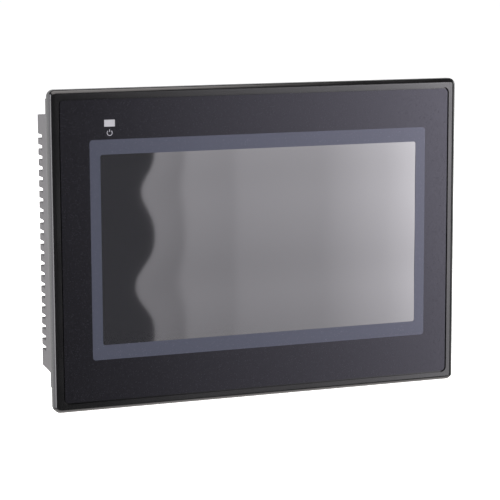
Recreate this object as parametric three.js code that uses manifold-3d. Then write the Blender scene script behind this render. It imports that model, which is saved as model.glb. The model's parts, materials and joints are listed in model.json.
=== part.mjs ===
// A 7-inch operator touch panel that mounts in a cut-out of a cabinet door. All sizes are in millimetres.
//
// Frame: +X is to the right and +Z up for someone who stands in front of the panel, and +Y goes into the
// cabinet. The origin is the centre of the cut-out, on the outer face of the door, so the bezel lies at
// y < 0 and the rear case at y > 0.

import * as THREE from "three";
import { mergeVertices } from "three/addons/utils/BufferGeometryUtils.js";
import Module from "manifold-3d";

const wasm = await Module();
wasm.setup();

// ---- Driving dimensions -------------------------------------------------------------------------

// Clearances
const BOND = 0.05; // between flat faces that are glued or pressed together
const SEAT = 0.1; // under a screw head, at the end of a post
const FIT = 0.3; // around a piece that drops into a pocket or a cut-out
const RUN = 0.15; // around a pin, a screw or a button that moves

// Front bezel
const BEZEL_WIDTH = 202;
const BEZEL_HEIGHT = 148;
const BEZEL_THICKNESS = 5.5;
const BEZEL_CORNER = 3.2;
const BEZEL_EDGE = 2.5; // radius of the rounded front edge
const BEZEL_RIM = 4.2; // from the outer edge to the pocket of the film
const BEZEL_PLATE = 2.5; // the plate behind the film
const OVERHANG_SIDE = 6.25; // of the bezel past the case, left and right
const OVERHANG_END = 6; // of the bezel past the case, top and bottom
const SKIRT_WALL = 1.6; // the collar that centres the case
const SKIRT_REACH = 3.5; // how far the collar goes past the door's outer face

// Front film, with its printed border
const FILM_THICKNESS = 0.35;
const FILM_SINK = 0.15; // below the bezel's rim
const FILM_GAP = 0.6; // the groove round the film
const FILM_CORNER = 2;
const GROOVE_DEPTH = 0.5; // below the seat of the film

// Door gasket
const GASKET_WIDTH = 2.8;
const GASKET_FROM_EDGE = 1; // from the bezel's outer edge
const GASKET_THICKNESS = 1.9;
const GASKET_PROUD = 0.5; // past the bezel's back, before it is pressed

// Power lamp, at the upper left
const LAMP_FROM_SIDE = 27.9;
const LAMP_FROM_TOP = 15.6;
const LAMP_WIDTH = 5.4;
const LAMP_HEIGHT = 3.3;
const LAMP_FLANGE = 1.4; // how far the light pipe's stop stands out
const LAMP_FLANGE_THICKNESS = 1;
const LED = { width: 3, height: 2.6, thickness: 1.2 };

// Touch glass and display module, one behind the other
const DISPLAY_Z = 0.4; // centre of the display above the centre of the bezel
const SCREEN_WIDTH = 156.5;
const SCREEN_HEIGHT = 87.6;
const TOUCH_WIDTH = 165;
const TOUCH_HEIGHT = 100;
const TOUCH_THICKNESS = 1.8;
const SEAL_THICKNESS = 0.6;
const LCD_WIDTH = 164.4;
const LCD_HEIGHT = 99.4;
const LCD_THICKNESS = 5.5;
const LCD_SHEET = 0.5; // the pressed metal frame
const CELL_THICKNESS = 1.3;
const GUIDE_THICKNESS = 2.2;
const LCD_RIB = { length: 12, width: 1.4, x: 50, z: 25 }; // the ribs on the bezel that centre the module

// Chassis plate
const CHASSIS_THICKNESS = 1;
const CHASSIS_HEIGHT = 100;
const CHASSIS_SCREW_Z = 30;
const STANDOFF_LENGTH = 4.1;
const STANDOFF_RADIUS = 2.6;
const STANDOFF_FROM_SIDE = 9; // of the board
const STANDOFF_Z = 44;

// Main board
const BOARD_THICKNESS = 1.6;
const BOARD_BESIDE_LAMP = 7.9; // how far it goes past the lamp, sideways
const BOARD_EDGE = 8; // from the board's lower edge to the underside of the case
const BOARD_ABOVE_LAMP = 3.6;

// Rear case
const CASE_DEPTH = 40; // behind the door's outer face
const CASE_WALL = 2.2;
const STEP_SPARE = 0.2; // room behind the serial ports before the case steps in, above and below
const STEP_TOP = 7.2;
const STEP_BOTTOM = 7.1;
const SLOPE_TOP = 1.2; // how far the top falls from the step to the back
const SLOPE_BOTTOM = 1.1; // how far the underside rises from the step to the back

// Vents, which wrap round the two upright back corners
const VENT_COUNT = 21;
const VENT_PITCH = 5.03;
const VENT_HEIGHT = 2.1;
const VENT_ALONG_SIDE = 8;
const VENT_ALONG_BACK = 13;
const VENT_Z = -0.6; // middle of the row

// Case screws, in wells at the four corners
const CASE_SCREW_FROM_SIDE = 8.25;
const WELL_DEPTH = 3;
const WELL_FLOOR = 2;
const WELL_WALL = 1.2;
const POST_WALL = 1.7;
const CASE_SCREW = { head: 2.8, headHeight: 2, shank: 1.4, length: 10 };
const SMALL_SCREW = { head: 2.6, headHeight: 1.5, shank: 1.2, length: 3.6 };

// Slots for the mounting clamps, in the top and bottom walls
const CLAMP_X = 60;
const CLAMP_SLOT_LENGTH = 15;
const CLAMP_SLOT_WIDTH = 5.2;
const CLAMP_SLOT_Y = 7; // centre of the slot

// Rating label
const LABEL = { x: -22, z: 22, width: 84, height: 46, thickness: 0.25, sink: 0.4, corner: 1.5 };

// Switch board with its selector switches and reset button
const SWITCH_BOARD = { x: -26, z: -28, width: 42, height: 26, inset: 3 };
const PEG_RADIUS = 1;
const PEG_HEAD = 2;
const DIP_X = -17;
const DIP_WIDTH = 6.6;
const DIP_HEIGHT = 9.6;
const DIP_THICKNESS = 4.3;
const DIP_PITCH = 2.54;
const DIP_SLIDER = 1.4;
const DIP_TRAVEL = 2;
const RESET_X = -34;
const RESET_SWITCH = 6;
const RESET_SWITCH_THICKNESS = 3.6;
const RESET_RADIUS = 1.8;
const RESET_BELOW_BACK = 0.5;
const RESET_TRAVEL = 0.5;

// Battery, its bay and the hinged cover
const BATTERY_RADIUS = 7.25;
const BATTERY_LENGTH = 26;
const BAY_WALL = 1.5;
const BAY_SPARE = 3.9; // its height past the battery and its plug
const BAY_LENGTH = 35;
const COVER_THICKNESS = 1.2;
const COVER_LEDGE = 1.6;
const COVER_PIN = 0.6;
const COVER_PIN_LENGTH = 1.3;
const COVER_RIB = 3;
const HINGE_X = 38.5;
const HINGE_TURN_ROOM = 0.4;
const BAY_Z = -26;
const BATTERY_PLUG = { x: 66, width: 6, height: 4.4, length: 5 };
const LEAD_RADIUS = 0.9;

// Ports, which look down through the underside of the case
const PORT_PROUD = 0.4; // past the underside
const SERIAL_1_X = 42;
const SERIAL_2_X = 4;
const SERIAL = {
  width: 30.8,
  height: 12.5,
  sheet: 0.9,
  shellWidth: 16.9,
  shellHeight: 8.4,
  shellLength: 5.9,
};
const SERIAL_BODY = { width: 19.2, height: 11.6, length: 10 };
const SERIAL_CENTRE = 6.4; // above the board
const SERIAL_SCREW_SPACING = 24.99;
const SERIAL_SCREW = { hex: 2.9, hexLength: 5, shank: 1.4, length: 6, socket: 1.3, socketDepth: 3.5 };
const LAN = {
  x: -28,
  width: 16,
  height: 12.4,
  length: 21,
  mouthWidth: 11.7,
  mouthHeight: 6.9,
  mouthDepth: 13,
};
const LAN_LATCH = { width: 6.2, height: 2.1 };
const LAN_FLOOR = 2.3; // from the jack's underside to its mouth
const USB_A = { x: -72, width: 13.2, height: 5.8, length: 14, sheet: 0.35, mouthDepth: 10 };
const USB_A_TONGUE = { width: 11.1, height: 1.8, length: 9.2, above: 3.25 };
const USB_B = {
  x: -50,
  width: 12,
  height: 10.9,
  length: 16,
  mouthWidth: 8.4,
  mouthHeight: 7.8,
  mouthDepth: 9.4,
};
const USB_B_TONGUE = { width: 5.6, height: 3.2, length: 8.2 };
const USB_B_CHAMFER = 1.9;
const POWER_FROM_SIDE = 8; // of the board
const POWER = { width: 18.6, height: 12, length: 13.6, wall: 0.9, floor: 3 };
const POWER_PITCH = 5.08;
const POWER_PIN = 1;
const PIN_LENGTH = 7;
const PLUG_HEAD = 5.8; // the part of the plug outside its socket
const WIRE_HOLE = { width: 3, height: 2.6, depth: 7, above: 3.7 };
const TERMINAL_SCREW = {
  head: 1.5,
  headHeight: 1.6,
  shank: 1,
  length: 3.4,
  sink: 0.5,
  slot: 0.6,
  above: 8.3,
};

// Main board's components
const PROCESSOR = { x: -12, z: 12, size: 24, thickness: 1.8 };
const MEMORY = { x: 20, z: 14, width: 14, height: 10, thickness: 1.1 };
const COIL = { x: 54, z: 22, size: 12, thickness: 6 };
const RIBBON_WIDTH = 9;
const RIBBON_THICKNESS = 0.4;
const RIBBON_X = -26;
const RIBBON_Z = -22;
const RIBBON_HEADER = { depth: 5, height: 3.4 };
const FLEX_WIDTH = 26;
const FLEX_X = -20;
const FLEX_THICKNESS = 0.25;
const FLEX_CONNECTOR_Z = -31;
const FLEX_WINDOW = { top: -27, bottom: -46 }; // opening in the chassis plate
const FLEX_CONNECTOR = { depth: 4, height: 1.3 };
const TAIL_X = 25;
const TAIL_WIDTH = 12;
const TAIL_DROP = 2.4; // below the touch glass
const TAIL_CONNECTOR = { depth: 3, height: 2 };

// Facets of the round shapes
const CORNER_STEPS = 4;
const SCREW_SIDES = 12;

// ---- Places that follow from the sizes ----------------------------------------------------------

const bezelBack = -GASKET_PROUD;
const bezelFront = bezelBack - BEZEL_THICKNESS;
const filmFront = bezelFront + FILM_SINK;
const filmBack = filmFront + FILM_THICKNESS;
const pocketFloor = filmBack + BOND;
const plateBack = pocketFloor + BEZEL_PLATE;
const touchFront = filmBack + BOND;
const touchBack = touchFront + TOUCH_THICKNESS;
const sealFront = touchBack + BOND;
const lcdFront = sealFront + SEAL_THICKNESS + BOND;
const lcdBack = lcdFront + LCD_THICKNESS;
const chassisFront = lcdBack + FIT;
const chassisBack = chassisFront + CHASSIS_THICKNESS;
const boardFront = chassisBack + STANDOFF_LENGTH + BOND;
const boardBack = boardFront + BOARD_THICKNESS;
const onBoard = boardBack + BOND; // where the components on the main board's back start

const lampX = -(BEZEL_WIDTH / 2 - LAMP_FROM_SIDE);
const lampZ = BEZEL_HEIGHT / 2 - LAMP_FROM_TOP;

const caseX = BEZEL_WIDTH / 2 - OVERHANG_SIDE;
const caseZ = BEZEL_HEIGHT / 2 - OVERHANG_END;
const caseFront = bezelBack + SEAT;
const backInside = CASE_DEPTH - CASE_WALL;
const skirtX = caseX - CASE_WALL - FIT;
const skirtZ = caseZ - CASE_WALL - FIT;
const pocketX = BEZEL_WIDTH / 2 - BEZEL_RIM;
const pocketZ = BEZEL_HEIGHT / 2 - BEZEL_RIM;

const screwX = caseX - CASE_SCREW_FROM_SIDE;
const wellFloor = CASE_DEPTH - WELL_DEPTH;
const wellRadius = CASE_SCREW.head + FIT + WELL_WALL;
const postEnd = wellFloor - WELL_FLOOR - SEAT;
const postRadius = CASE_SCREW.shank + RUN + POST_WALL;

const boardX = BOARD_BESIDE_LAMP - lampX;
const standoffX = boardX - STANDOFF_FROM_SIDE;
const boardBottom = -(caseZ - BOARD_EDGE);
const boardTop = lampZ + BOARD_ABOVE_LAMP;
const portFace = -(caseZ + PORT_PROUD);
const serialFace = -(caseZ - CASE_WALL - FIT);
const serialMiddle = onBoard + SERIAL_CENTRE;
const powerX = boardX - POWER_FROM_SIDE;
const stepDepth = serialMiddle + SERIAL.height / 2 + FIT + CASE_WALL + STEP_SPARE;

// The height inside the case from its centre line, at a depth behind the step, above (end = 1) or
// below (end = -1).
function insideHeight(end, depth) {
  const [step, slope] = end > 0 ? [STEP_TOP, SLOPE_TOP] : [STEP_BOTTOM, SLOPE_BOTTOM];
  const run = CASE_DEPTH - stepDepth;
  const outside = caseZ - step - (slope * (depth - stepDepth)) / run;
  return outside - CASE_WALL / Math.cos(Math.atan2(slope, run));
}

const caseScrewZ = (end) => end * (insideHeight(end, postEnd) - postRadius - FIT);

const switchBack = backInside - RUN - RESET_SWITCH_THICKNESS - BOND;
const switchFront = switchBack - BOARD_THICKNESS;

const hingeY = CASE_DEPTH - COVER_THICKNESS;
const bayHeight = 2 * BATTERY_RADIUS + BATTERY_PLUG.height + BAY_SPARE;
const plugZ = BAY_Z + bayHeight / 2 - FIT - BATTERY_PLUG.height / 2;
const coverHalf = bayHeight / 2 + COVER_LEDGE - FIT;
const coverStart = HINGE_X + COVER_THICKNESS + FIT; // of its full height, which clears the back as it turns
const coverEnd = HINGE_X + BAY_LENGTH + COVER_LEDGE - FIT;
const bayStart = HINGE_X - COVER_THICKNESS - HINGE_TURN_ROOM;
const bayEnd = HINGE_X + BAY_LENGTH;
const bayFloor = backInside - FIT - 2 * BATTERY_RADIUS - COVER_RIB;

// ---- Helpers ------------------------------------------------------------------------------------

// A closed three.js geometry as a solid for joining and cutting.
function solid(geometry) {
  geometry.deleteAttribute("normal");
  geometry.deleteAttribute("uv");
  const merged = mergeVertices(geometry, 1e-4);
  return new wasm.Manifold(
    new wasm.Mesh({
      numProp: 3,
      vertProperties: merged.attributes.position.array,
      triVerts: new Uint32Array(merged.index.array),
    }),
  );
}

function geometryOf(body) {
  const mesh = body.getMesh();
  return new THREE.BufferGeometry()
    .setAttribute("position", new THREE.BufferAttribute(mesh.vertProperties, 3))
    .setIndex(new THREE.BufferAttribute(mesh.triVerts, 1));
}

const join = (...bodies) => bodies.reduce((all, next) => all.add(next));
const cut = (body, ...tools) => tools.reduce((left, tool) => left.subtract(tool), body);

// A block between two corners.
function block(x0, x1, y0, y1, z0, z1) {
  const box = new THREE.BoxGeometry(x1 - x0, y1 - y0, z1 - z0);
  return solid(box.translate((x0 + x1) / 2, (y0 + y1) / 2, (z0 + z1) / 2));
}

// A block centred on (x, z), as wide and high as asked, between two depths.
function centredBlock(x, z, width, height, y0, y1) {
  return block(x - width / 2, x + width / 2, y0, y1, z - height / 2, z + height / 2);
}

// A rectangle with round corners, centred on a point.
function roundedRectangle(width, height, corner, x = 0, z = 0) {
  const shape = new THREE.Shape();
  const right = width / 2 - corner;
  const top = height / 2 - corner;
  shape.absarc(x + right, z + top, corner, 0, Math.PI / 2);
  shape.absarc(x - right, z + top, corner, Math.PI / 2, Math.PI);
  shape.absarc(x - right, z - top, corner, Math.PI, 1.5 * Math.PI);
  shape.absarc(x + right, z - top, corner, 1.5 * Math.PI, 2 * Math.PI);
  return shape;
}

// A shape drawn in X and Z, pushed along Y. A round edge rounds the front end only.
function slab(shape, y0, y1, roundEdge = 0) {
  const rounded = roundEdge > 0;
  const geometry = new THREE.ExtrudeGeometry(shape, {
    depth: y1 - y0,
    curveSegments: CORNER_STEPS,
    bevelEnabled: rounded,
    bevelThickness: roundEdge,
    bevelSize: roundEdge,
    bevelSegments: CORNER_STEPS,
  });
  const pushed = solid(geometry.rotateX(Math.PI / 2).translate(0, y1 + roundEdge, 0));
  if (!rounded) return pushed;
  return cut(pushed, centredBlock(0, 0, 4 * BEZEL_WIDTH, 4 * BEZEL_HEIGHT, y1, y1 + 3 * roundEdge));
}

function roundedSlab(width, height, corner, y0, y1, x = 0, z = 0) {
  return slab(roundedRectangle(width, height, corner, x, z), y0, y1);
}

// A profile of [y, z] points, pushed along X.
function alongX(profile, x0, x1) {
  const shape = new THREE.Shape(profile.map(([y, z]) => new THREE.Vector2(y, z)));
  const geometry = new THREE.ExtrudeGeometry(shape, { depth: x1 - x0, bevelEnabled: false });
  const turn = new THREE.Matrix4().makeBasis(
    new THREE.Vector3(0, 1, 0),
    new THREE.Vector3(0, 0, 1),
    new THREE.Vector3(1, 0, 0),
  );
  return solid(geometry.applyMatrix4(turn).translate(x0, 0, 0));
}

// A profile of [x, y] points, pushed along Z.
function alongZ(profile, z0, z1) {
  const shape = new THREE.Shape(profile.map(([x, y]) => new THREE.Vector2(x, y)));
  return solid(
    new THREE.ExtrudeGeometry(shape, { depth: z1 - z0, bevelEnabled: false }).translate(0, 0, z0),
  );
}

// Round rods along each axis.
function rodY(x, z, radius, y0, y1, sides = SCREW_SIDES) {
  return solid(new THREE.CylinderGeometry(radius, radius, y1 - y0, sides).translate(x, (y0 + y1) / 2, z));
}

function rodZ(x, y, radius, z0, z1, sides = SCREW_SIDES) {
  const rod = new THREE.CylinderGeometry(radius, radius, z1 - z0, sides).rotateX(Math.PI / 2);
  return solid(rod.translate(x, y, (z0 + z1) / 2));
}

function rodX(y, z, radius, x0, x1, sides = SCREW_SIDES) {
  const rod = new THREE.CylinderGeometry(radius, radius, x1 - x0, sides).rotateZ(Math.PI / 2);
  return solid(rod.translate((x0 + x1) / 2, y, z));
}

// A closed polygon of [y, z] points that runs clockwise seen from +X, moved inwards by a distance.
function insetPolygon(points, distance) {
  const edges = points.map((from, i) => {
    const to = points[(i + 1) % points.length];
    const along = new THREE.Vector2(to[0] - from[0], to[1] - from[1]).normalize();
    const inwards = new THREE.Vector2(along.y, -along.x);
    return { along, start: new THREE.Vector2(...from).addScaledVector(inwards, distance) };
  });
  return edges.map((edge, i) => {
    const before = edges[(i + edges.length - 1) % edges.length];
    const gap = edge.start.clone().sub(before.start);
    const t = gap.cross(edge.along) / before.along.cross(edge.along);
    const corner = before.start.clone().addScaledVector(before.along, t);
    return [corner.x, corner.y];
  });
}

// The outline of a strip of even thickness that follows a smooth curve through [y, z] points.
function strip(points, thickness) {
  const curve = new THREE.SplineCurve(points.map(([y, z]) => new THREE.Vector2(y, z)));
  const steps = 5 * (points.length - 1);
  const near = [];
  const far = [];
  for (let i = 0; i <= steps; i++) {
    const at = curve.getPoint(i / steps);
    const along = curve.getTangent(i / steps);
    near.push([at.x - (along.y * thickness) / 2, at.y + (along.x * thickness) / 2]);
    far.unshift([at.x + (along.y * thickness) / 2, at.y - (along.x * thickness) / 2]);
  }
  return [...near, ...far];
}

const sides = [-1, 1];
const corners = sides.flatMap((side) => sides.map((end) => [side, end]));

// ---- Materials ----------------------------------------------------------------------------------

function finish(color, roughness, metalness = 0) {
  return new THREE.MeshStandardMaterial({ color, roughness, metalness });
}
const blackPlastic = finish(0x1d1d1f, 0.4);
const casePlastic = finish(0x333336, 0.65);
const printedFilm = finish(0x232325, 0.55);
const rubber = finish(0x141414, 0.9);
const glass = finish(0x3a3a3e, 0.08);
const milkyPlastic = finish(0xd9d9d6, 0.35);
const steel = finish(0xb4b6b8, 0.35, 1);
const nickel = finish(0xc9c7c0, 0.3, 1);
const boardGreen = finish(0x1c5a3a, 0.5);
const chipBlack = finish(0x18181a, 0.6);
const connectorCream = finish(0xe4dcc4, 0.5);
const connectorBlack = finish(0x151516, 0.5);
const terminalGreen = finish(0x2f8f4a, 0.45);
const flexAmber = finish(0xb5722a, 0.35);
const labelSilver = finish(0xc6c8ca, 0.4, 0.6);
const batteryWrap = finish(0x2f6fb0, 0.4);

const panel = new THREE.Group();
panel.name = "operator_touch_panel";

function place(name, body, material) {
  const mesh = new THREE.Mesh(geometryOf(body), material);
  mesh.name = name;
  panel.add(mesh);
}

// ---- Bezel, film and gasket ---------------------------------------------------------------------

// The collar behind the bezel that centres the case on it.
function bezelCollar() {
  return cut(
    roundedSlab(2 * skirtX, 2 * skirtZ, 2, bezelBack - 1, SKIRT_REACH),
    roundedSlab(2 * (skirtX - SKIRT_WALL), 2 * (skirtZ - SKIRT_WALL), 1, bezelBack - 2, SKIRT_REACH + 1),
  );
}

// The shallow pocket for the film, with the groove round it.
function filmPocket() {
  const groove = cut(
    roundedSlab(
      2 * pocketX,
      2 * pocketZ,
      FILM_CORNER + FILM_GAP,
      bezelFront - 1,
      pocketFloor + GROOVE_DEPTH,
    ),
    roundedSlab(
      2 * (pocketX - FILM_GAP),
      2 * (pocketZ - FILM_GAP),
      FILM_CORNER,
      bezelFront - 2,
      CASE_DEPTH,
    ),
  );
  return join(
    roundedSlab(2 * pocketX, 2 * pocketZ, FILM_CORNER + FILM_GAP, bezelFront - 1, pocketFloor),
    groove,
  );
}

// The ring just inside the bezel's edge where the gasket lies, wider on every side by a clearance.
function gasketRing(y0, y1, clearance) {
  const middleX = BEZEL_WIDTH / 2 - GASKET_FROM_EDGE - GASKET_WIDTH / 2;
  const middleZ = BEZEL_HEIGHT / 2 - GASKET_FROM_EDGE - GASKET_WIDTH / 2;
  const reach = GASKET_WIDTH / 2 + clearance;
  return cut(
    roundedSlab(2 * (middleX + reach), 2 * (middleZ + reach), 2, y0, y1),
    roundedSlab(2 * (middleX - reach), 2 * (middleZ - reach), 1, y0 - 1, y1 + 1),
  );
}

// A plate of the display, centred on it, between two depths.
function displayPlate(width, height, y0, y1) {
  return centredBlock(0, DISPLAY_Z, width, height, y0, y1);
}

// The lamp's window, larger all round by a margin, between two depths.
function lampBlock(margin, y0, y1) {
  return centredBlock(lampX, lampZ, LAMP_WIDTH + 2 * margin, LAMP_HEIGHT + 2 * margin, y0, y1);
}

// Two ribs on each side of the display module.
function displayRibs() {
  const reachX = LCD_WIDTH / 2 + FIT + LCD_RIB.width / 2;
  const reachZ = LCD_HEIGHT / 2 + FIT + LCD_RIB.width / 2;
  const rib = (x, z, width, height) =>
    centredBlock(x, z + DISPLAY_Z, width, height, plateBack - 0.5, lcdBack - 1);
  return corners.flatMap(([side, end]) => [
    rib(side * LCD_RIB.x, end * reachZ, LCD_RIB.length, LCD_RIB.width),
    rib(side * reachX, end * LCD_RIB.z, LCD_RIB.width, LCD_RIB.length),
  ]);
}

function frontBezel() {
  const front = 2 * BEZEL_EDGE;
  const outline = roundedRectangle(BEZEL_WIDTH - front, BEZEL_HEIGHT - front, BEZEL_CORNER - BEZEL_EDGE);
  const hollow = roundedSlab(
    2 * (skirtX - SKIRT_WALL),
    2 * (skirtZ - SKIRT_WALL),
    1,
    plateBack,
    CASE_DEPTH,
  );
  const window = displayPlate(TOUCH_WIDTH + 2 * FIT, TOUCH_HEIGHT + 2 * FIT, bezelFront - 1, CASE_DEPTH);
  const tailRoom = centredBlock(
    TAIL_X,
    DISPLAY_Z - TOUCH_HEIGHT / 2 - TAIL_DROP,
    TAIL_WIDTH + 2 * FIT,
    2 * (TAIL_DROP + FIT),
    pocketFloor - 1,
    CASE_DEPTH,
  );
  const lampHole = lampBlock(FIT, bezelFront - 1, CASE_DEPTH);
  const posts = corners.map(([side, end]) => {
    return rodY(side * screwX, caseScrewZ(end), postRadius, plateBack - 1, postEnd);
  });
  const bosses = corners.map(([side, end]) => {
    const radius = SMALL_SCREW.shank + RUN + POST_WALL;
    return rodY(side * screwX, end * CHASSIS_SCREW_Z, radius, plateBack - 1, chassisFront - SEAT);
  });
  const shell = cut(
    slab(outline, bezelFront, bezelBack, BEZEL_EDGE),
    filmPocket(),
    hollow,
    window,
    lampHole,
    tailRoom,
  );
  const bores = corners.flatMap(([side, end]) => [
    rodY(side * screwX, caseScrewZ(end), CASE_SCREW.shank + RUN, postEnd - CASE_SCREW.length, CASE_DEPTH),
    rodY(side * screwX, end * CHASSIS_SCREW_Z, SMALL_SCREW.shank + RUN, plateBack + SEAT, CASE_DEPTH),
  ]);
  const groove = gasketRing(bezelBack - (GASKET_THICKNESS - GASKET_PROUD) - BOND, bezelBack + 1, SEAT);
  return cut(join(shell, bezelCollar(), ...posts, ...bosses, ...displayRibs()), groove, ...bores);
}

place("front_bezel", frontBezel(), blackPlastic);
place(
  "overlay_film",
  roundedSlab(2 * (pocketX - FILM_GAP), 2 * (pocketZ - FILM_GAP), FILM_CORNER, filmFront, filmBack),
  printedFilm,
);
place("panel_gasket", gasketRing(-GASKET_THICKNESS, 0, 0), rubber);

// ---- Touch glass, display module and power lamp -------------------------------------------------

const displayBottom = DISPLAY_Z - TOUCH_HEIGHT / 2;

place("touch_glass", displayPlate(TOUCH_WIDTH, TOUCH_HEIGHT, touchFront, touchBack), glass);
place(
  "display_seal",
  cut(
    displayPlate(LCD_WIDTH, LCD_HEIGHT, sealFront, sealFront + SEAL_THICKNESS),
    displayPlate(SCREEN_WIDTH + 1, SCREEN_HEIGHT + 1, sealFront - 1, sealFront + 2),
  ),
  rubber,
);

const insideLcd = 2 * (LCD_SHEET + BOND);
const cellFront = lcdFront + LCD_SHEET + BOND;
const guideFront = cellFront + CELL_THICKNESS + BOND;
const trayFront = guideFront + GUIDE_THICKNESS + BOND;
place(
  "lcd_frame",
  cut(
    displayPlate(LCD_WIDTH, LCD_HEIGHT, lcdFront, lcdBack),
    displayPlate(LCD_WIDTH - 2 * LCD_SHEET, LCD_HEIGHT - 2 * LCD_SHEET, lcdFront + LCD_SHEET, lcdBack + 1),
    displayPlate(SCREEN_WIDTH, SCREEN_HEIGHT, lcdFront - 1, lcdBack),
  ),
  steel,
);
const lcdLayer = (y0, y1) => displayPlate(LCD_WIDTH - insideLcd, LCD_HEIGHT - insideLcd, y0, y1);
place("lcd_glass", lcdLayer(cellFront, guideFront - BOND), glass);
place("light_guide", lcdLayer(guideFront, trayFront - BOND), milkyPlastic);
place("backlight_tray", lcdLayer(trayFront, lcdBack), steel);

const ledFront = boardFront - LED.thickness - BOND;
place(
  "led_light_pipe",
  join(
    lampBlock(0, filmBack + BOND, ledFront - FIT),
    lampBlock(LAMP_FLANGE, plateBack + BOND, plateBack + LAMP_FLANGE_THICKNESS),
  ),
  milkyPlastic,
);
place(
  "power_led",
  centredBlock(lampX, lampZ, LED.width, LED.height, ledFront, boardFront - BOND),
  milkyPlastic,
);

// The touch glass's tail drops past the display and goes back to its connector on the main board.
const tailZ = displayBottom - TAIL_DROP;
const tailEnd = boardFront - TAIL_CONNECTOR.height - SEAT;
place(
  "touch_tail",
  alongX(
    strip(
      [
        [touchFront + TOUCH_THICKNESS / 2, displayBottom - SEAT],
        [touchBack, tailZ + 0.5],
        [lcdFront + 1, tailZ],
        [tailEnd, tailZ],
      ],
      FLEX_THICKNESS,
    ),
    TAIL_X - TAIL_WIDTH / 2,
    TAIL_X + TAIL_WIDTH / 2,
  ),
  flexAmber,
);
place(
  "touch_connector",
  centredBlock(
    TAIL_X,
    tailZ,
    TAIL_WIDTH + 3,
    TAIL_CONNECTOR.depth,
    boardFront - TAIL_CONNECTOR.height,
    boardFront - BOND,
  ),
  connectorCream,
);

// ---- Chassis plate ------------------------------------------------------------------------------

// A pan-head screw along Y, with its head towards +Y.
function screwFromBack(x, z, seat, size) {
  return join(
    rodY(x, z, size.head, seat, seat + size.headHeight),
    rodY(x, z, size.shank, seat - size.length, seat + size.headHeight / 2),
  );
}

function chassisPlate() {
  const width = 2 * (screwX + SMALL_SCREW.head + 1);
  const windowHeight = FLEX_WINDOW.top - FLEX_WINDOW.bottom;
  const standoffs = corners.map(([side, end]) =>
    rodY(
      side * standoffX,
      end * STANDOFF_Z,
      STANDOFF_RADIUS,
      chassisBack - CHASSIS_THICKNESS / 2,
      boardFront - BOND,
    ),
  );
  const bores = corners.flatMap(([side, end]) => [
    rodY(side * standoffX, end * STANDOFF_Z, SMALL_SCREW.shank + RUN, chassisFront - 1, boardFront + 1),
    rodY(side * screwX, end * CHASSIS_SCREW_Z, SMALL_SCREW.shank + RUN, chassisFront - 1, chassisBack + 1),
  ]);
  return cut(
    join(centredBlock(0, DISPLAY_Z, width, CHASSIS_HEIGHT, chassisFront, chassisBack), ...standoffs),
    centredBlock(
      FLEX_X,
      FLEX_WINDOW.bottom + windowHeight / 2,
      FLEX_WIDTH + 8,
      windowHeight,
      chassisFront - 1,
      chassisBack + 1,
    ),
    ...bores,
  );
}

place("chassis_plate", chassisPlate(), steel);
corners.forEach(([side, end], i) => {
  const seat = chassisBack + SEAT;
  place(
    `chassis_screw_${i + 1}`,
    screwFromBack(side * screwX, end * CHASSIS_SCREW_Z, seat, SMALL_SCREW),
    steel,
  );
});

// The display's flex goes from the back of the module, through the chassis, to the main board's front.
const flexLow = DISPLAY_Z - LCD_HEIGHT / 2 + 6;
const flexEnd = boardFront - FLEX_CONNECTOR.height - BOND;
place(
  "display_flex",
  alongX(
    strip(
      [
        [lcdBack + SEAT + FLEX_THICKNESS / 2, flexLow],
        [lcdBack + SEAT + FLEX_THICKNESS, flexLow + 2],
        [(lcdBack + boardFront) / 2, flexLow + 6],
        [flexEnd + FLEX_CONNECTOR.height / 2, FLEX_CONNECTOR_Z - FLEX_CONNECTOR.depth / 2 - SEAT],
      ],
      FLEX_THICKNESS,
    ),
    FLEX_X - FLEX_WIDTH / 2,
    FLEX_X + FLEX_WIDTH / 2,
  ),
  flexAmber,
);
place(
  "display_connector",
  centredBlock(FLEX_X, FLEX_CONNECTOR_Z, FLEX_WIDTH + 4, FLEX_CONNECTOR.depth, flexEnd, boardFront - BOND),
  connectorCream,
);

// ---- Main board ---------------------------------------------------------------------------------

const boardMiddle = (boardTop + boardBottom) / 2;
place(
  "main_board",
  cut(
    centredBlock(0, boardMiddle, 2 * boardX, boardTop - boardBottom, boardFront, boardBack),
    ...corners.map(([side, end]) =>
      rodY(side * standoffX, end * STANDOFF_Z, SMALL_SCREW.shank + RUN, boardFront - 1, boardBack + 1),
    ),
  ),
  boardGreen,
);
corners.forEach(([side, end], i) => {
  place(
    `board_screw_${i + 1}`,
    screwFromBack(side * standoffX, end * STANDOFF_Z, boardBack + SEAT, SMALL_SCREW),
    steel,
  );
});
place(
  "processor_chip",
  centredBlock(
    PROCESSOR.x,
    PROCESSOR.z,
    PROCESSOR.size,
    PROCESSOR.size,
    onBoard,
    onBoard + PROCESSOR.thickness,
  ),
  chipBlack,
);
place(
  "memory_chip",
  centredBlock(MEMORY.x, MEMORY.z, MEMORY.width, MEMORY.height, onBoard, onBoard + MEMORY.thickness),
  chipBlack,
);
place(
  "power_coil",
  centredBlock(COIL.x, COIL.z, COIL.size, COIL.size, onBoard, onBoard + COIL.thickness),
  chipBlack,
);

// ---- Switch board: selector switches, reset button and their ribbon ------------------------------

const pegs = corners.map(([side, end]) => ({
  x: SWITCH_BOARD.x + side * (SWITCH_BOARD.width / 2 - SWITCH_BOARD.inset),
  z: SWITCH_BOARD.z + end * (SWITCH_BOARD.height / 2 - SWITCH_BOARD.inset),
}));
place(
  "switch_board",
  cut(
    centredBlock(
      SWITCH_BOARD.x,
      SWITCH_BOARD.z,
      SWITCH_BOARD.width,
      SWITCH_BOARD.height,
      switchFront,
      switchBack,
    ),
    ...pegs.map(({ x, z }) => rodY(x, z, PEG_RADIUS + FIT, switchFront - 1, switchBack + 1)),
  ),
  boardGreen,
);

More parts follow.
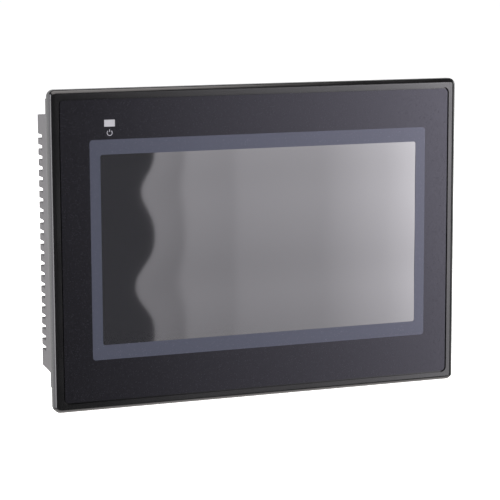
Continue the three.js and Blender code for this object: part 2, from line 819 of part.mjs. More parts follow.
const dipFace = switchBack + BOND + DIP_THICKNESS;
const sliderZ = SWITCH_BOARD.z - DIP_TRAVEL / 2;
const dipTrack = (x) =>
  centredBlock(
    x,
    SWITCH_BOARD.z,
    DIP_SLIDER + 2 * RUN,
    DIP_TRAVEL + DIP_SLIDER + 2 * RUN,
    dipFace - 1.2,
    dipFace + 1,
  );
const sliderX = sides.map((side) => DIP_X + (side * DIP_PITCH) / 2);
place(
  "dip_switch_body",
  cut(
    centredBlock(DIP_X, SWITCH_BOARD.z, DIP_WIDTH, DIP_HEIGHT, switchBack + BOND, dipFace),
    ...sliderX.map(dipTrack),
  ),
  connectorBlack,
);
sliderX.forEach((x, i) => {
  place(
    `dip_slider_${i + 1}`,
    centredBlock(x, sliderZ, DIP_SLIDER, DIP_SLIDER, dipFace - 1.2 + RUN, dipFace + 1),
    connectorCream,
  );
});

const resetTop = CASE_DEPTH - RESET_BELOW_BACK;
const resetFace = switchBack + BOND + RESET_SWITCH_THICKNESS;
const resetBore = resetFace - RESET_TRAVEL - 1;
place(
  "reset_switch_body",
  cut(
    centredBlock(RESET_X, SWITCH_BOARD.z, RESET_SWITCH, RESET_SWITCH, switchBack + BOND, resetFace),
    rodY(RESET_X, SWITCH_BOARD.z, RESET_RADIUS + RUN, resetBore - RUN, resetFace + 1),
  ),
  connectorBlack,
);
place(
  "reset_button",
  rodY(RESET_X, SWITCH_BOARD.z, RESET_RADIUS, resetBore + RESET_TRAVEL, resetTop),
  milkyPlastic,
);

const headerTop = onBoard + RIBBON_HEADER.height;
place(
  "ribbon_header",
  centredBlock(RIBBON_X, RIBBON_Z, RIBBON_WIDTH + 3, RIBBON_HEADER.depth, onBoard, headerTop),
  connectorCream,
);
place(
  "switch_ribbon",
  alongX(
    strip(
      [
        [switchFront - SEAT, RIBBON_Z],
        [switchFront - 4, RIBBON_Z + 1],
        [(switchFront + headerTop) / 2, RIBBON_Z + 5],
        [headerTop + 4, RIBBON_Z + 1],
        [headerTop + SEAT, RIBBON_Z],
      ],
      RIBBON_THICKNESS,
    ),
    RIBBON_X - RIBBON_WIDTH / 2,
    RIBBON_X + RIBBON_WIDTH / 2,
  ),
  flexAmber,
);

// ---- Battery, its lead and the hinged cover ------------------------------------------------------

const bayInsideLow = BAY_Z - bayHeight / 2;
const batteryX = bayStart + FIT + 2;
const batteryY = bayFloor + BAY_WALL + FIT + BATTERY_RADIUS;
const batteryZ = bayInsideLow + FIT + BATTERY_RADIUS;
place(
  "battery",
  rodX(batteryY, batteryZ, BATTERY_RADIUS, batteryX, batteryX + BATTERY_LENGTH, 16),
  batteryWrap,
);

const socketTop = bayFloor + BAY_WALL + 1;
place(
  "battery_socket",
  centredBlock(BATTERY_PLUG.x, plugZ, BATTERY_PLUG.width, BATTERY_PLUG.height, onBoard, socketTop),
  connectorCream,
);

// The lead leaves the plug, turns over and comes back to the end of the battery.
function batteryHarness() {
  const plugStart = socketTop + SEAT;
  const plugEnd = plugStart + BATTERY_PLUG.length;
  const batteryEnd = batteryX + BATTERY_LENGTH + 2 * FIT;
  const turnX = batteryEnd + LEAD_RADIUS + 0.6;
  const route = new THREE.CatmullRomCurve3([
    new THREE.Vector3(BATTERY_PLUG.x, plugEnd - 1, plugZ),
    new THREE.Vector3(BATTERY_PLUG.x + 0.4, plugEnd + 2, plugZ),
    new THREE.Vector3((BATTERY_PLUG.x + turnX) / 2, plugEnd + 3.6, plugZ - 2),
    new THREE.Vector3(turnX, plugEnd + 2, plugZ - 5),
    new THREE.Vector3(turnX, batteryY, batteryZ + 1.6),
    new THREE.Vector3(batteryEnd, batteryY, batteryZ),
  ]);
  const section = new THREE.Shape();
  section.absarc(0, 0, LEAD_RADIUS, 0, 2 * Math.PI);
  const lead = new THREE.ExtrudeGeometry(section, { extrudePath: route, steps: 18, curveSegments: 4 });
  return join(
    centredBlock(BATTERY_PLUG.x, plugZ, BATTERY_PLUG.width, BATTERY_PLUG.height, plugStart, plugEnd),
    solid(lead),
  );
}
place("battery_harness", batteryHarness(), connectorCream);

// The cover turns on two pins at its left end and has a rib at the other end that keeps it central.
function batteryCover() {
  const pin = COVER_PIN_LENGTH + FIT;
  const rib = block(
    bayEnd - FIT - 1.2,
    bayEnd - FIT,
    hingeY - COVER_RIB,
    hingeY + 0.2,
    BAY_Z - 6,
    BAY_Z + 6,
  );
  return join(
    block(coverStart, coverEnd, hingeY, CASE_DEPTH, BAY_Z - coverHalf, BAY_Z + coverHalf),
    block(
      HINGE_X,
      coverStart + 1,
      hingeY,
      CASE_DEPTH,
      BAY_Z - bayHeight / 2 + FIT,
      BAY_Z + bayHeight / 2 - FIT,
    ),
    rodZ(HINGE_X, hingeY, COVER_THICKNESS, BAY_Z - bayHeight / 2 + FIT, BAY_Z + bayHeight / 2 - FIT),
    rodZ(HINGE_X, hingeY, COVER_PIN, BAY_Z - bayHeight / 2 - pin, BAY_Z + bayHeight / 2 + pin, 8),
    rib,
  );
}
place("battery_cover", batteryCover(), casePlastic);

// ---- Ports on the underside ----------------------------------------------------------------------

// A block that stands on the main board and looks down, from the port's face upwards.
function portBlock(x, width, height, face, length, above = 0) {
  return block(
    x - width / 2,
    x + width / 2,
    onBoard + above,
    onBoard + above + height,
    face,
    face + length,
  );
}

// The outline of a D-shaped shell, wide side towards the board.
function dOutline(x, width, height, clearance = 0) {
  const half = width / 2 + clearance;
  const rise = height / 2 + clearance;
  const slant = height * Math.tan(THREE.MathUtils.degToRad(10));
  return [
    [x - half, serialMiddle - rise],
    [x + half, serialMiddle - rise],
    [x + half - slant, serialMiddle + rise],
    [x - half + slant, serialMiddle + rise],
  ];
}

const serialScrews = (x) => sides.map((side) => x + (side * SERIAL_SCREW_SPACING) / 2);

function serialPort(x) {
  const flange = block(
    x - SERIAL.width / 2,
    x + SERIAL.width / 2,
    serialMiddle - SERIAL.height / 2,
    serialMiddle + SERIAL.height / 2,
    serialFace,
    serialFace + SERIAL.sheet,
  );
  return cut(
    join(
      flange,
      alongZ(
        dOutline(x, SERIAL.shellWidth, SERIAL.shellHeight),
        serialFace - SERIAL.shellLength,
        serialFace + 0.5,
      ),
      portBlock(
        x,
        SERIAL_BODY.width,
        SERIAL_BODY.height,
        serialFace + SERIAL.sheet / 2,
        SERIAL_BODY.length,
      ),
    ),
    ...serialScrews(x).map(
      (at) => rodZ(at, serialMiddle, SERIAL_SCREW.shank + RUN, serialFace - 1, serialFace + 2),
    ),
  );
}

function jackScrew(x) {
  const seat = serialFace - SEAT;
  const end = seat - SERIAL_SCREW.hexLength;
  return cut(
    join(
      rodZ(x, serialMiddle, SERIAL_SCREW.hex, end, seat, 6),
      rodZ(x, serialMiddle, SERIAL_SCREW.shank, seat - 1, seat + SERIAL_SCREW.length),
    ),
    rodZ(x, serialMiddle, SERIAL_SCREW.socket, end - 1, end + SERIAL_SCREW.socketDepth),
  );
}

[SERIAL_1_X, SERIAL_2_X].forEach((x, port) => {
  place(`com${port + 1}_port`, serialPort(x), nickel);
  serialScrews(x).forEach((at, i) => place(`com${port + 1}_jackscrew_${i + 1}`, jackScrew(at), nickel));
});

function lanPort() {
  const mouthDepth = LAN.mouthDepth + 1;
  return cut(
    portBlock(LAN.x, LAN.width, LAN.height, portFace, LAN.length),
    portBlock(LAN.x, LAN.mouthWidth, LAN.mouthHeight, portFace - 1, mouthDepth, LAN_FLOOR),
    portBlock(
      LAN.x,
      LAN_LATCH.width,
      LAN_LATCH.height + 1,
      portFace - 1,
      mouthDepth,
      LAN_FLOOR + LAN.mouthHeight - 1,
    ),
  );
}
place("lan_port", lanPort(), nickel);

function usbHostPort() {
  const depth = USB_A.mouthDepth + 1;
  const tongueStart = portFace + USB_A.mouthDepth - USB_A_TONGUE.length;
  const { x, width, height, sheet } = USB_A;
  const mouth = portBlock(x, width - 2 * sheet, height - 2 * sheet, portFace - 1, depth, sheet);
  const tongue = USB_A_TONGUE;
  return join(
    cut(portBlock(x, width, height, portFace, USB_A.length), mouth),
    portBlock(x, tongue.width, tongue.height, tongueStart, tongue.length + 1, tongue.above),
  );
}
place("usb_host_port", usbHostPort(), nickel);

function usbSlavePort() {
  const low = (USB_B.height - USB_B.mouthHeight) / 2;
  const y0 = onBoard + low;
  const y1 = y0 + USB_B.mouthHeight;
  const half = USB_B.mouthWidth / 2;
  const mouth = [
    [USB_B.x - half, y0],
    [USB_B.x + half, y0],
    [USB_B.x + half, y1 - USB_B_CHAMFER],
    [USB_B.x + half - USB_B_CHAMFER, y1],
    [USB_B.x - half + USB_B_CHAMFER, y1],
    [USB_B.x - half, y1 - USB_B_CHAMFER],
  ];
  const tongueStart = portFace + USB_B.mouthDepth - USB_B_TONGUE.length;
  const above = (USB_B.height - USB_B_TONGUE.height) / 2;
  return join(
    cut(
      portBlock(USB_B.x, USB_B.width, USB_B.height, portFace, USB_B.length),
      alongZ(mouth, portFace - 1, portFace + USB_B.mouthDepth),
    ),
    portBlock(
      USB_B.x,
      USB_B_TONGUE.width,
      USB_B_TONGUE.height,
      tongueStart,
      USB_B_TONGUE.length + 1,
      above,
    ),
  );
}
place("usb_slave_port", usbSlavePort(), nickel);

// ---- Power socket and its plug ------------------------------------------------------------------

const ways = [-1, 0, 1].map((step) => powerX + step * POWER_PITCH);
const pinAbove = (POWER.height - POWER_PIN) / 2;
const socketBottom = -caseZ + 0.4;
const plugBottom = -caseZ - PLUG_HEAD;
const socketFloor = socketBottom + POWER.length - POWER.floor;
const pinStart = socketFloor - PIN_LENGTH;
const terminalY = onBoard + TERMINAL_SCREW.above;
const terminalFace = plugBottom + TERMINAL_SCREW.sink;

function powerSocket() {
  const insideWidth = POWER.width - 2 * POWER.wall;
  const insideHeight = POWER.height - 2 * POWER.wall;
  const shell = cut(
    portBlock(powerX, POWER.width, POWER.height, socketBottom, POWER.length),
    portBlock(
      powerX,
      insideWidth,
      insideHeight,
      socketBottom - 1,
      POWER.length - POWER.floor + 1,
      POWER.wall,
    ),
  );
  const pins = ways.map((x) => portBlock(x, POWER_PIN, POWER_PIN, pinStart, PIN_LENGTH + 1, pinAbove));
  return join(shell, ...pins);
}

function powerPlug() {
  const inset = POWER.wall + FIT;
  const noseLength = socketFloor - FIT - plugBottom - 1;
  const body = join(
    portBlock(powerX, POWER.width - 2 * inset, POWER.height - 2 * inset, plugBottom + 1, noseLength, inset),
    portBlock(powerX, POWER.width, POWER.height, plugBottom, socketBottom - FIT - plugBottom),
  );
  const wireAbove = WIRE_HOLE.above - WIRE_HOLE.height / 2;
  const headEnd = terminalFace + TERMINAL_SCREW.headHeight;
  const holes = ways.flatMap((x) => [
    portBlock(x, POWER_PIN + 2 * RUN, POWER_PIN + 2 * RUN, pinStart - 0.5, PIN_LENGTH + 2, pinAbove - RUN),
    portBlock(x, WIRE_HOLE.width, WIRE_HOLE.height, plugBottom - 1, WIRE_HOLE.depth + 1, wireAbove),
    rodZ(x, terminalY, TERMINAL_SCREW.head + RUN, plugBottom - 1, headEnd + RUN),
    rodZ(x, terminalY, TERMINAL_SCREW.shank + RUN, plugBottom, headEnd + TERMINAL_SCREW.length + RUN),
  ]);
  return cut(body, ...holes);
}

function terminalScrew(x) {
  const reach = 2 * TERMINAL_SCREW.head;
  const half = TERMINAL_SCREW.slot / 2;
  const headEnd = terminalFace + TERMINAL_SCREW.headHeight;
  return cut(
    join(
      rodZ(x, terminalY, TERMINAL_SCREW.head, terminalFace, headEnd, 16),
      rodZ(x, terminalY, TERMINAL_SCREW.shank, headEnd - 0.5, headEnd + TERMINAL_SCREW.length, 8),
    ),
    block(
      x - reach,
      x + reach,
      terminalY - half,
      terminalY + half,
      terminalFace - 1,
      terminalFace + half * 2,
    ),
  );
}

place("power_socket", powerSocket(), terminalGreen);
place("power_plug", powerPlug(), terminalGreen);
ways.forEach((x, i) => place(`terminal_screw_${i + 1}`, terminalScrew(x), steel));

// ---- Rear case ----------------------------------------------------------------------------------

// The side view of the case as [y, z] points, clockwise seen from +X, starting at the given front.
function caseProfile(front) {
  return [
    [front, -caseZ],
    [front, caseZ],
    [stepDepth, caseZ],
    [stepDepth, caseZ - STEP_TOP],
    [CASE_DEPTH, caseZ - STEP_TOP - SLOPE_TOP],
    [CASE_DEPTH, -(caseZ - STEP_BOTTOM - SLOPE_BOTTOM)],
    [stepDepth, -(caseZ - STEP_BOTTOM)],
    [stepDepth, -caseZ],
  ];
}

function caseVents() {
  const first = VENT_Z - ((VENT_COUNT - 1) * VENT_PITCH) / 2;
  return Array.from({ length: VENT_COUNT }, (_, i) => first + i * VENT_PITCH).flatMap((z) =>
    sides.map((side) => {
      const middle = side * (caseX + 1 - (VENT_ALONG_BACK + 1) / 2);
      return centredBlock(
        middle,
        z,
        VENT_ALONG_BACK + 1,
        VENT_HEIGHT,
        CASE_DEPTH - VENT_ALONG_SIDE,
        CASE_DEPTH + 1,
      );
    }),
  );
}

// The holes in the underside that the ports look through.
function portHoles() {
  const through = (x, width, height) =>
    portBlock(x, width + 2 * FIT, height + 2 * FIT, -caseZ - 1, CASE_WALL + 3.5, -FIT);
  const serial = [SERIAL_1_X, SERIAL_2_X].flatMap((x) => [
    alongZ(dOutline(x, SERIAL.shellWidth, SERIAL.shellHeight, FIT), -caseZ - 1, serialFace + 0.5),
    ...serialScrews(x).map(
      (at) => rodZ(at, serialMiddle, SERIAL_SCREW.hex + FIT, -caseZ - 1, serialFace + 0.5),
    ),
  ]);
  return [
    ...serial,
    through(LAN.x, LAN.width, LAN.height),
    through(USB_A.x, USB_A.width, USB_A.height),
    through(USB_B.x, USB_B.width, USB_B.height),
    through(powerX, POWER.width, POWER.height),
  ];
}

function clampSlots() {
  return corners.map(([side, end]) => {
    const reach = caseZ - CASE_WALL / 2;
    const y0 = CLAMP_SLOT_Y - CLAMP_SLOT_WIDTH / 2;
    return centredBlock(
      side * CLAMP_X,
      end * reach,
      CLAMP_SLOT_LENGTH,
      CASE_WALL + 2,
      y0,
      y0 + CLAMP_SLOT_WIDTH,
    );
  });
}

// The battery bay's walls, and what is cut from them and from the back for the battery and its cover.
function bayWalls() {
  const half = bayHeight / 2 + BAY_WALL;
  return block(
    bayStart - BAY_WALL,
    bayEnd + BAY_WALL,
    bayFloor,
    backInside + 0.5,
    BAY_Z - half,
    BAY_Z + half,
  );
}

function bayCuts() {
  const pinRoom = bayHeight / 2 + COVER_PIN_LENGTH + 2 * FIT;
  const reach = coverHalf + FIT;
  const recess = block(
    HINGE_X + FIT,
    coverEnd + FIT,
    hingeY - RUN,
    CASE_DEPTH + 1,
    BAY_Z - reach,
    BAY_Z + reach,
  );
  const notch = rodY(coverEnd + FIT, BAY_Z, 5, hingeY - RUN, CASE_DEPTH + 1, 16);
  const hollow = block(
    bayStart,
    bayEnd,
    bayFloor + BAY_WALL,
    CASE_DEPTH + 1,
    BAY_Z - bayHeight / 2,
    BAY_Z + bayHeight / 2,
  );
  const socket = centredBlock(
    BATTERY_PLUG.x,
    plugZ,
    BATTERY_PLUG.width + 2 * FIT,
    BATTERY_PLUG.height + 2 * FIT,
    bayFloor - 1,
    bayFloor + BAY_WALL + 1,
  );
  const pins = rodZ(HINGE_X, hingeY, COVER_PIN + RUN, BAY_Z - pinRoom, BAY_Z + pinRoom, 8);
  return [recess, notch, hollow, socket, pins];
}

// Pegs of the switch board, with the heads that hold it.
function switchPegs() {
  return pegs.flatMap(({ x, z }) => [
    rodY(x, z, PEG_RADIUS + 1.4, switchBack + BOND, backInside + 0.5),
    rodY(x, z, PEG_RADIUS, switchFront - 1, backInside),
    rodY(x, z, PEG_HEAD, switchFront - 1.2, switchFront - SEAT),
  ]);
}

function rearCase() {
  const outer = alongX(caseProfile(caseFront), -caseX, caseX);
  const inside = caseX - CASE_WALL;
  const inner = alongX(insetPolygon(caseProfile(caseFront - 2 * CASE_WALL), CASE_WALL), -inside, inside);
  const shell = cut(outer, inner, ...caseVents(), ...clampSlots(), ...portHoles());
  const wells = corners.map(([side, end]) =>
    rodY(side * screwX, caseScrewZ(end), wellRadius, wellFloor - WELL_FLOOR, CASE_DEPTH).intersect(outer),
  );
  const wellCuts = corners.flatMap(([side, end]) => [
    rodY(side * screwX, caseScrewZ(end), wellRadius - WELL_WALL, wellFloor, CASE_DEPTH + 1),
    rodY(
      side * screwX,
      caseScrewZ(end),
      CASE_SCREW.shank + RUN,
      wellFloor - WELL_FLOOR - 1,
      CASE_DEPTH + 1,
    ),
  ]);
  const labelSeat = roundedSlab(
    LABEL.width + 2 * FIT,
    LABEL.height + 2 * FIT,
    LABEL.corner,
    CASE_DEPTH - LABEL.sink,
    CASE_DEPTH + 1,
    LABEL.x,
    LABEL.z,
  );
  const dipWindow = centredBlock(
    DIP_X,
    SWITCH_BOARD.z,
    DIP_WIDTH + 2 * FIT,
    DIP_HEIGHT + 2 * FIT,
    backInside - 1,
    CASE_DEPTH + 1,
  );
  const resetHole = rodY(RESET_X, SWITCH_BOARD.z, RESET_RADIUS + FIT, backInside - 1, CASE_DEPTH + 1);
  const walls = join(shell, ...wells, bayWalls(), ...switchPegs());
  return cut(walls, ...wellCuts, labelSeat, dipWindow, resetHole, ...bayCuts());
}

place("rear_case", rearCase(), casePlastic);
place(
  "rating_label",
  roundedSlab(
    LABEL.width,
    LABEL.height,
    LABEL.corner,
    CASE_DEPTH - LABEL.sink + BOND,
    CASE_DEPTH - LABEL.sink + BOND + LABEL.thickness,
    LABEL.x,
    LABEL.z,
  ),
  labelSilver,
);
corners.forEach(([side, end], i) => {
  place(
    `case_screw_${i + 1}`,
    screwFromBack(side * screwX, caseScrewZ(end), wellFloor + SEAT, CASE_SCREW),
    steel,
  );
});

export default panel;
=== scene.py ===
# %% [markdown]
# # An operator touch panel for a cabinet door
# The panel's frame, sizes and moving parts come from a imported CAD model. This script gives that model its
# looks: rounded edges, printed film, moulded plastic, plated metal. The axes are the model's own: +X right,
# +Y into the cabinet, +Z up. The camera, floor and lights are given in metres. The pieces are given in
# millimetres, as on a drawing, and MM turns them to metres at the end of each step.

# %% Load the frame
import json
import math

import bmesh
import bpy
from mathutils import Euler, Matrix, Vector


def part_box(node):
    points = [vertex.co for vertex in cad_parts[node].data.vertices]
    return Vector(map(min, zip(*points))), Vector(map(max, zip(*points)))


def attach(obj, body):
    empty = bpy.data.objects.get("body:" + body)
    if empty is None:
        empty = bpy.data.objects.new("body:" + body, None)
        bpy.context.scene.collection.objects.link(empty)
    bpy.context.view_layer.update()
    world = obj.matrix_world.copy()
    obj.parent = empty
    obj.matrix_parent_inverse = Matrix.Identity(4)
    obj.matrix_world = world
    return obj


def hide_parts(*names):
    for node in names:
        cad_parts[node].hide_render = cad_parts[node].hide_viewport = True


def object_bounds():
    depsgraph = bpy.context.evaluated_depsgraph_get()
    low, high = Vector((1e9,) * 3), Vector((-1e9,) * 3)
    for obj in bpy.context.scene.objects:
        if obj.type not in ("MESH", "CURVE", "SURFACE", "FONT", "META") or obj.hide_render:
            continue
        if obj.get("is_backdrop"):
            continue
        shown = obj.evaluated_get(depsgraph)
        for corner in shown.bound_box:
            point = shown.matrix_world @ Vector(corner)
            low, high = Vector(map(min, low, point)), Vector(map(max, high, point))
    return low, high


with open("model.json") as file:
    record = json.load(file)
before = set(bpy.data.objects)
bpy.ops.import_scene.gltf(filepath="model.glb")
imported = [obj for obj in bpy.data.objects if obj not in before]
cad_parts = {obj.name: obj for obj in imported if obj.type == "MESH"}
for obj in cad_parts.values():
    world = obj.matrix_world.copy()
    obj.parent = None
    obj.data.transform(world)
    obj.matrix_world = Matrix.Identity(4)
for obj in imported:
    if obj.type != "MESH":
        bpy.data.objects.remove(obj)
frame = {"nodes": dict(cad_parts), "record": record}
cad_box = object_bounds()
nodes = frame["nodes"]
slot_of = {part["node"]: part["material_slot"] for part in frame["record"]["subparts"]}
body_of = {
    node: body
    for body, members in frame["record"]["behaviour"]["bodies"].items()
    for node in members
}
MM = 0.001

# %% [markdown]
# ## Camera, floor and lights
# The panel is seen from its left and a little above, through a long lens, so its edges stay nearly parallel.
# A camera could be dragged into place by eye. Here it is placed by its distance and its angles, so the view is
# repeatable, and then moved a few millimetres sideways so that the panel sits a little off the middle.

# %% Camera
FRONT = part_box("front_bezel")[0].y
front_centre = Vector((0, FRONT, 0))
CAMERA_YAW = math.radians(-20.73)
CAMERA_PITCH = math.radians(-8.75)
CAMERA_ROLL = math.radians(-0.24)
CAMERA_DISTANCE = 0.9175
CAMERA_OFFSET = (-0.0053, -0.0037)  # to the right and up
LENS = 141  # focal length in millimetres, on a sensor 36 mm wide
SENSOR = 36

level_turn = Euler((math.radians(90) + CAMERA_PITCH, 0, CAMERA_YAW)).to_matrix()
turn = level_turn @ Matrix.Rotation(CAMERA_ROLL, 3, "Z")
camera = bpy.data.objects.new("camera", bpy.data.cameras.new("camera"))
camera.data.lens = LENS
camera.data.sensor_width = SENSOR
camera.rotation_euler = turn.to_euler()
camera.location = front_centre + turn @ Vector((*CAMERA_OFFSET, CAMERA_DISTANCE))
bpy.context.scene.collection.objects.link(camera)
bpy.context.scene.camera = camera
print("camera at", [round(value, 3) for value in camera.location])

# %% [markdown]
# The plain Standard view is used, so a colour that is set in a material is the colour that is seen under a
# light of strength one. The surroundings look white to the camera and are a dim grey to the object, as in a
# studio where white paper hangs behind the product and the rest of the room is dark. One Background node can't
# be both, so two are mixed by the kind of ray.

# %% World
bpy.context.scene.view_settings.view_transform = "Standard"
world = bpy.data.worlds.new("studio")
bpy.context.scene.world = world
world.use_nodes = True
WHITE = (1, 1, 1, 1)
COOL_WHITE = (0.97, 0.97, 1, 1)
ROOM_LIGHT = 0.1
paper = world.node_tree.nodes["Background"]
paper.inputs["Color"].default_value = WHITE
room = world.node_tree.nodes.new("ShaderNodeBackground")
room.inputs["Color"].default_value = COOL_WHITE
room.inputs["Strength"].default_value = ROOM_LIGHT
seen = world.node_tree.nodes.new("ShaderNodeLightPath")
both = world.node_tree.nodes.new("ShaderNodeMixShader")
for output, socket in (
    (seen.outputs["Is Camera Ray"], both.inputs["Fac"]),
    (room.outputs["Background"], both.inputs[1]),
    (paper.outputs["Background"], both.inputs[2]),
    (both.outputs["Shader"], world.node_tree.nodes["World Output"].inputs["Surface"]),
):
    world.node_tree.links.new(output, socket)
print("room light:", ROOM_LIGHT)

# %% [markdown]
# Colours are given as the hex values that a paint chart or a web page uses, and turned to the linear values
# that the renderer works with. One helper adds a node and links it, so each material below reads as a short
# list of what feeds what.

# %% Colour and node helpers
def colour(hex_value):
    """An sRGB hex colour as a linear RGBA value."""
    channels = [int(hex_value[i : i + 2], 16) / 255 for i in (1, 3, 5)]
    return (*[c / 12.92 if c <= 0.04045 else ((c + 0.055) / 1.055) ** 2.4 for c in channels], 1)


def add_node(material, kind, inputs=None, **settings):
    """Adds one node. Each input is a value, or the output of another node, which is then linked."""
    node = material.node_tree.nodes.new(kind)
    for name, value in settings.items():
        setattr(node, name, value)
    for name, value in (inputs or {}).items():
        if isinstance(value, bpy.types.NodeSocket):
            material.node_tree.links.new(value, node.inputs[name])
        else:
            node.inputs[name].default_value = value
    return node


def new_material(name, **values):
    """A Principled material. It returns the material and its shader node."""
    material = bpy.data.materials.new(name)
    material.use_nodes = True
    shader = material.node_tree.nodes["Principled BSDF"]
    for socket, value in values.items():
        shader.inputs[socket.replace("_", " ")].default_value = value
    return material, shader


def connect(material, output, shader, socket):
    """Links an output to a named input of a shader."""
    material.node_tree.links.new(output, shader.inputs[socket])


def uneven_gloss(material, shader, pattern, roughness, spread, low=0.3, high=0.7):
    """Lets a pattern from low to high move the roughness by up to spread, either way."""
    gloss = add_node(
        material,
        "ShaderNodeMapRange",
        {
            "Value": pattern,
            "From Min": low,
            "From Max": high,
            "To Min": roughness - spread,
            "To Max": roughness + spread,
        },
    )
    connect(material, gloss.outputs["Result"], shader, "Roughness")


def add_bump(material, shader, pattern, depth):
    """Raises the surface with a pattern, by a depth in metres."""
    bump = add_node(material, "ShaderNodeBump", {"Height": pattern, "Distance": depth})
    connect(material, bump.outputs["Normal"], shader, "Normal")


print("white in linear values:", colour("#ffffff"))

# %% [markdown]
# The floor is a sheet of white paper, so wide that its far edge is out of sight. It glows a little, as paper
# does on a lit table, and that keeps it white where the lights don't reach. The object doesn't mirror it,
# because the black front would then lose its depth. It lies as far below the panel as the terminal plug
# reaches when it is pulled out.

# %% Floor
def stage_sheet(name, width, depth):
    """A flat stage sheet of the given size, facing +Z, centred on the origin."""
    bm = bmesh.new()
    bmesh.ops.create_grid(bm, x_segments=1, y_segments=1, size=0.5)
    bmesh.ops.scale(bm, vec=(width, depth, 1), verts=bm.verts)
    mesh = bpy.data.meshes.new(name)
    bm.to_mesh(mesh)
    bm.free()
    sheet = bpy.data.objects.new(name, mesh)
    bpy.context.scene.collection.objects.link(sheet)
    sheet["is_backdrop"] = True
    return sheet


FLOOR_SIDE = 40
FLOOR_GAP = 0.001  # between the paper and the pulled plug
joints = {joint["name"]: joint for joint in frame["record"]["behaviour"]["joints"]}
plug_travel = joints["power_plug_pull"]["range_m"][1]
floor = stage_sheet("paper_floor", FLOOR_SIDE, FLOOR_SIDE)
floor.location.z = cad_box[0].z - plug_travel - FLOOR_GAP
floor.visible_glossy = False
floor_paper, floor_shader = new_material(
    "white_paper",
    Base_Color=colour("#f4f4f4"),
    Roughness=0.9,
    Emission_Color=WHITE,
    Emission_Strength=0.93,
)
floor_grain = add_node(floor_paper, "ShaderNodeTexNoise", {"Scale": 900, "Detail": 2})
add_bump(floor_paper, floor_shader, floor_grain.outputs["Fac"], 0.00005)
floor.data.materials.append(floor_paper)
print("floor at", round(floor.location.z, 4))

# %% [markdown]
# Lamps would do for a matt object, but a glossy one shows the shape of whatever lights it, so glowing sheets
# are used. A very large one stands to the right and in front, and the window mirrors it. It has steps and gets
# brighter from its left edge to its right, as overlapping layers of diffusing cloth do, and that draws the
# soft ramp across the black front.

# %% Lights
def soft_panel(name, size, place, target, strength, tint):
    """A glowing sheet that faces a target, and its emission node."""
    sheet = stage_sheet(name, *size)
    sheet.location = place
    sheet.rotation_euler = (Vector(target) - Vector(place)).to_track_quat("Z", "Y").to_euler()
    sheet.visible_camera = False
    glow = new_material(name + "_glow")[0]
    light = add_node(glow, "ShaderNodeEmission", {"Color": colour(tint), "Strength": strength})
    connect(glow, light.outputs["Emission"], glow.node_tree.nodes["Material Output"], "Surface")
    sheet.data.materials.append(glow)
    return glow, light


# %% The big light
# It stands parallel to the front, 1.5 m before it.
BIG_PANEL_Y = -1.5
BIG_PANEL_LEFT = 0.421
BIG_PANEL_WIDTH = 1.1
BIG_PANEL_HEIGHT = 1.8
BIG_PANEL_CENTRE = (BIG_PANEL_LEFT + BIG_PANEL_WIDTH / 2, BIG_PANEL_Y, -0.1)
BIG_PANEL_FULL = 8.0  # the brightness that a level of one stands for
BIG_PANEL_LAYERS = (  # distance from the panel's left edge in metres, and level there
    (0.0, 0.14),
    (0.045, 0.118),
    (0.053, 0.165),
    (0.115, 0.158),
    (0.123, 0.18),
    (0.24, 0.2),
    (0.33, 0.31),
    (0.4, 0.46),
    (0.44, 0.8),
    (0.49, 0.95),
    (0.58, 0.9),
    (0.66, 0.45),
    (1.1, 0.25),
)
glow, light = soft_panel(
    "big_softbox",
    (BIG_PANEL_WIDTH, BIG_PANEL_HEIGHT),
    BIG_PANEL_CENTRE,
    (BIG_PANEL_CENTRE[0], 0, BIG_PANEL_CENTRE[2]),
    1,
    tint="#f8f5fb",
)

# %% Its layers of cloth
place = add_node(glow, "ShaderNodeTexCoord")
axes = add_node(glow, "ShaderNodeSeparateXYZ", {"Vector": place.outputs["Object"]})
half = BIG_PANEL_WIDTH / 2
across = add_node(glow, "ShaderNodeMapRange", {"Value": axes.outputs["X"], "From Min": half, "From Max": -half})
layers = add_node(glow, "ShaderNodeValToRGB", {"Fac": across.outputs["Result"]})
stops = layers.color_ramp.elements
for index, (distance, level) in enumerate(BIG_PANEL_LAYERS):
    stop = stops[index] if index < 2 else stops.new(1)  # a new ramp has two stops already
    stop.position = distance / BIG_PANEL_WIDTH
    stop.color = (level, level, level, 1)
DIM_BELOW = {"From Min": -0.35, "To Min": 0.62}  # height on the panel, and the part of the light left there
BRIGHT_ABOVE = {"From Max": 0.1, "To Max": 1.2}
height = add_node(glow, "ShaderNodeMapRange", {"Value": axes.outputs["Y"], **DIM_BELOW, **BRIGHT_ABOVE})
factors = {0: layers.outputs["Color"], 1: height.outputs["Result"]}
level = add_node(glow, "ShaderNodeMath", factors, operation="MULTIPLY")
full = add_node(glow, "ShaderNodeMath", {0: level.outputs["Value"], 1: BIG_PANEL_FULL}, operation="MULTIPLY")
glow.node_tree.links.new(full.outputs["Value"], light.inputs["Strength"])
print("big light:", len(stops), "stops")

# %% [markdown]
# The other lights are even. A soft one and a narrow bright one stand on the left, for the case's side and the
# bezel's rounded edge. One is overhead, one on the right, and one below for the lower edge. A wide sheet hangs
# behind, and the top and side faces mirror it at a shallow angle. They stand level with the panel or behind
# it, so the window doesn't mirror them when it is seen from one side.

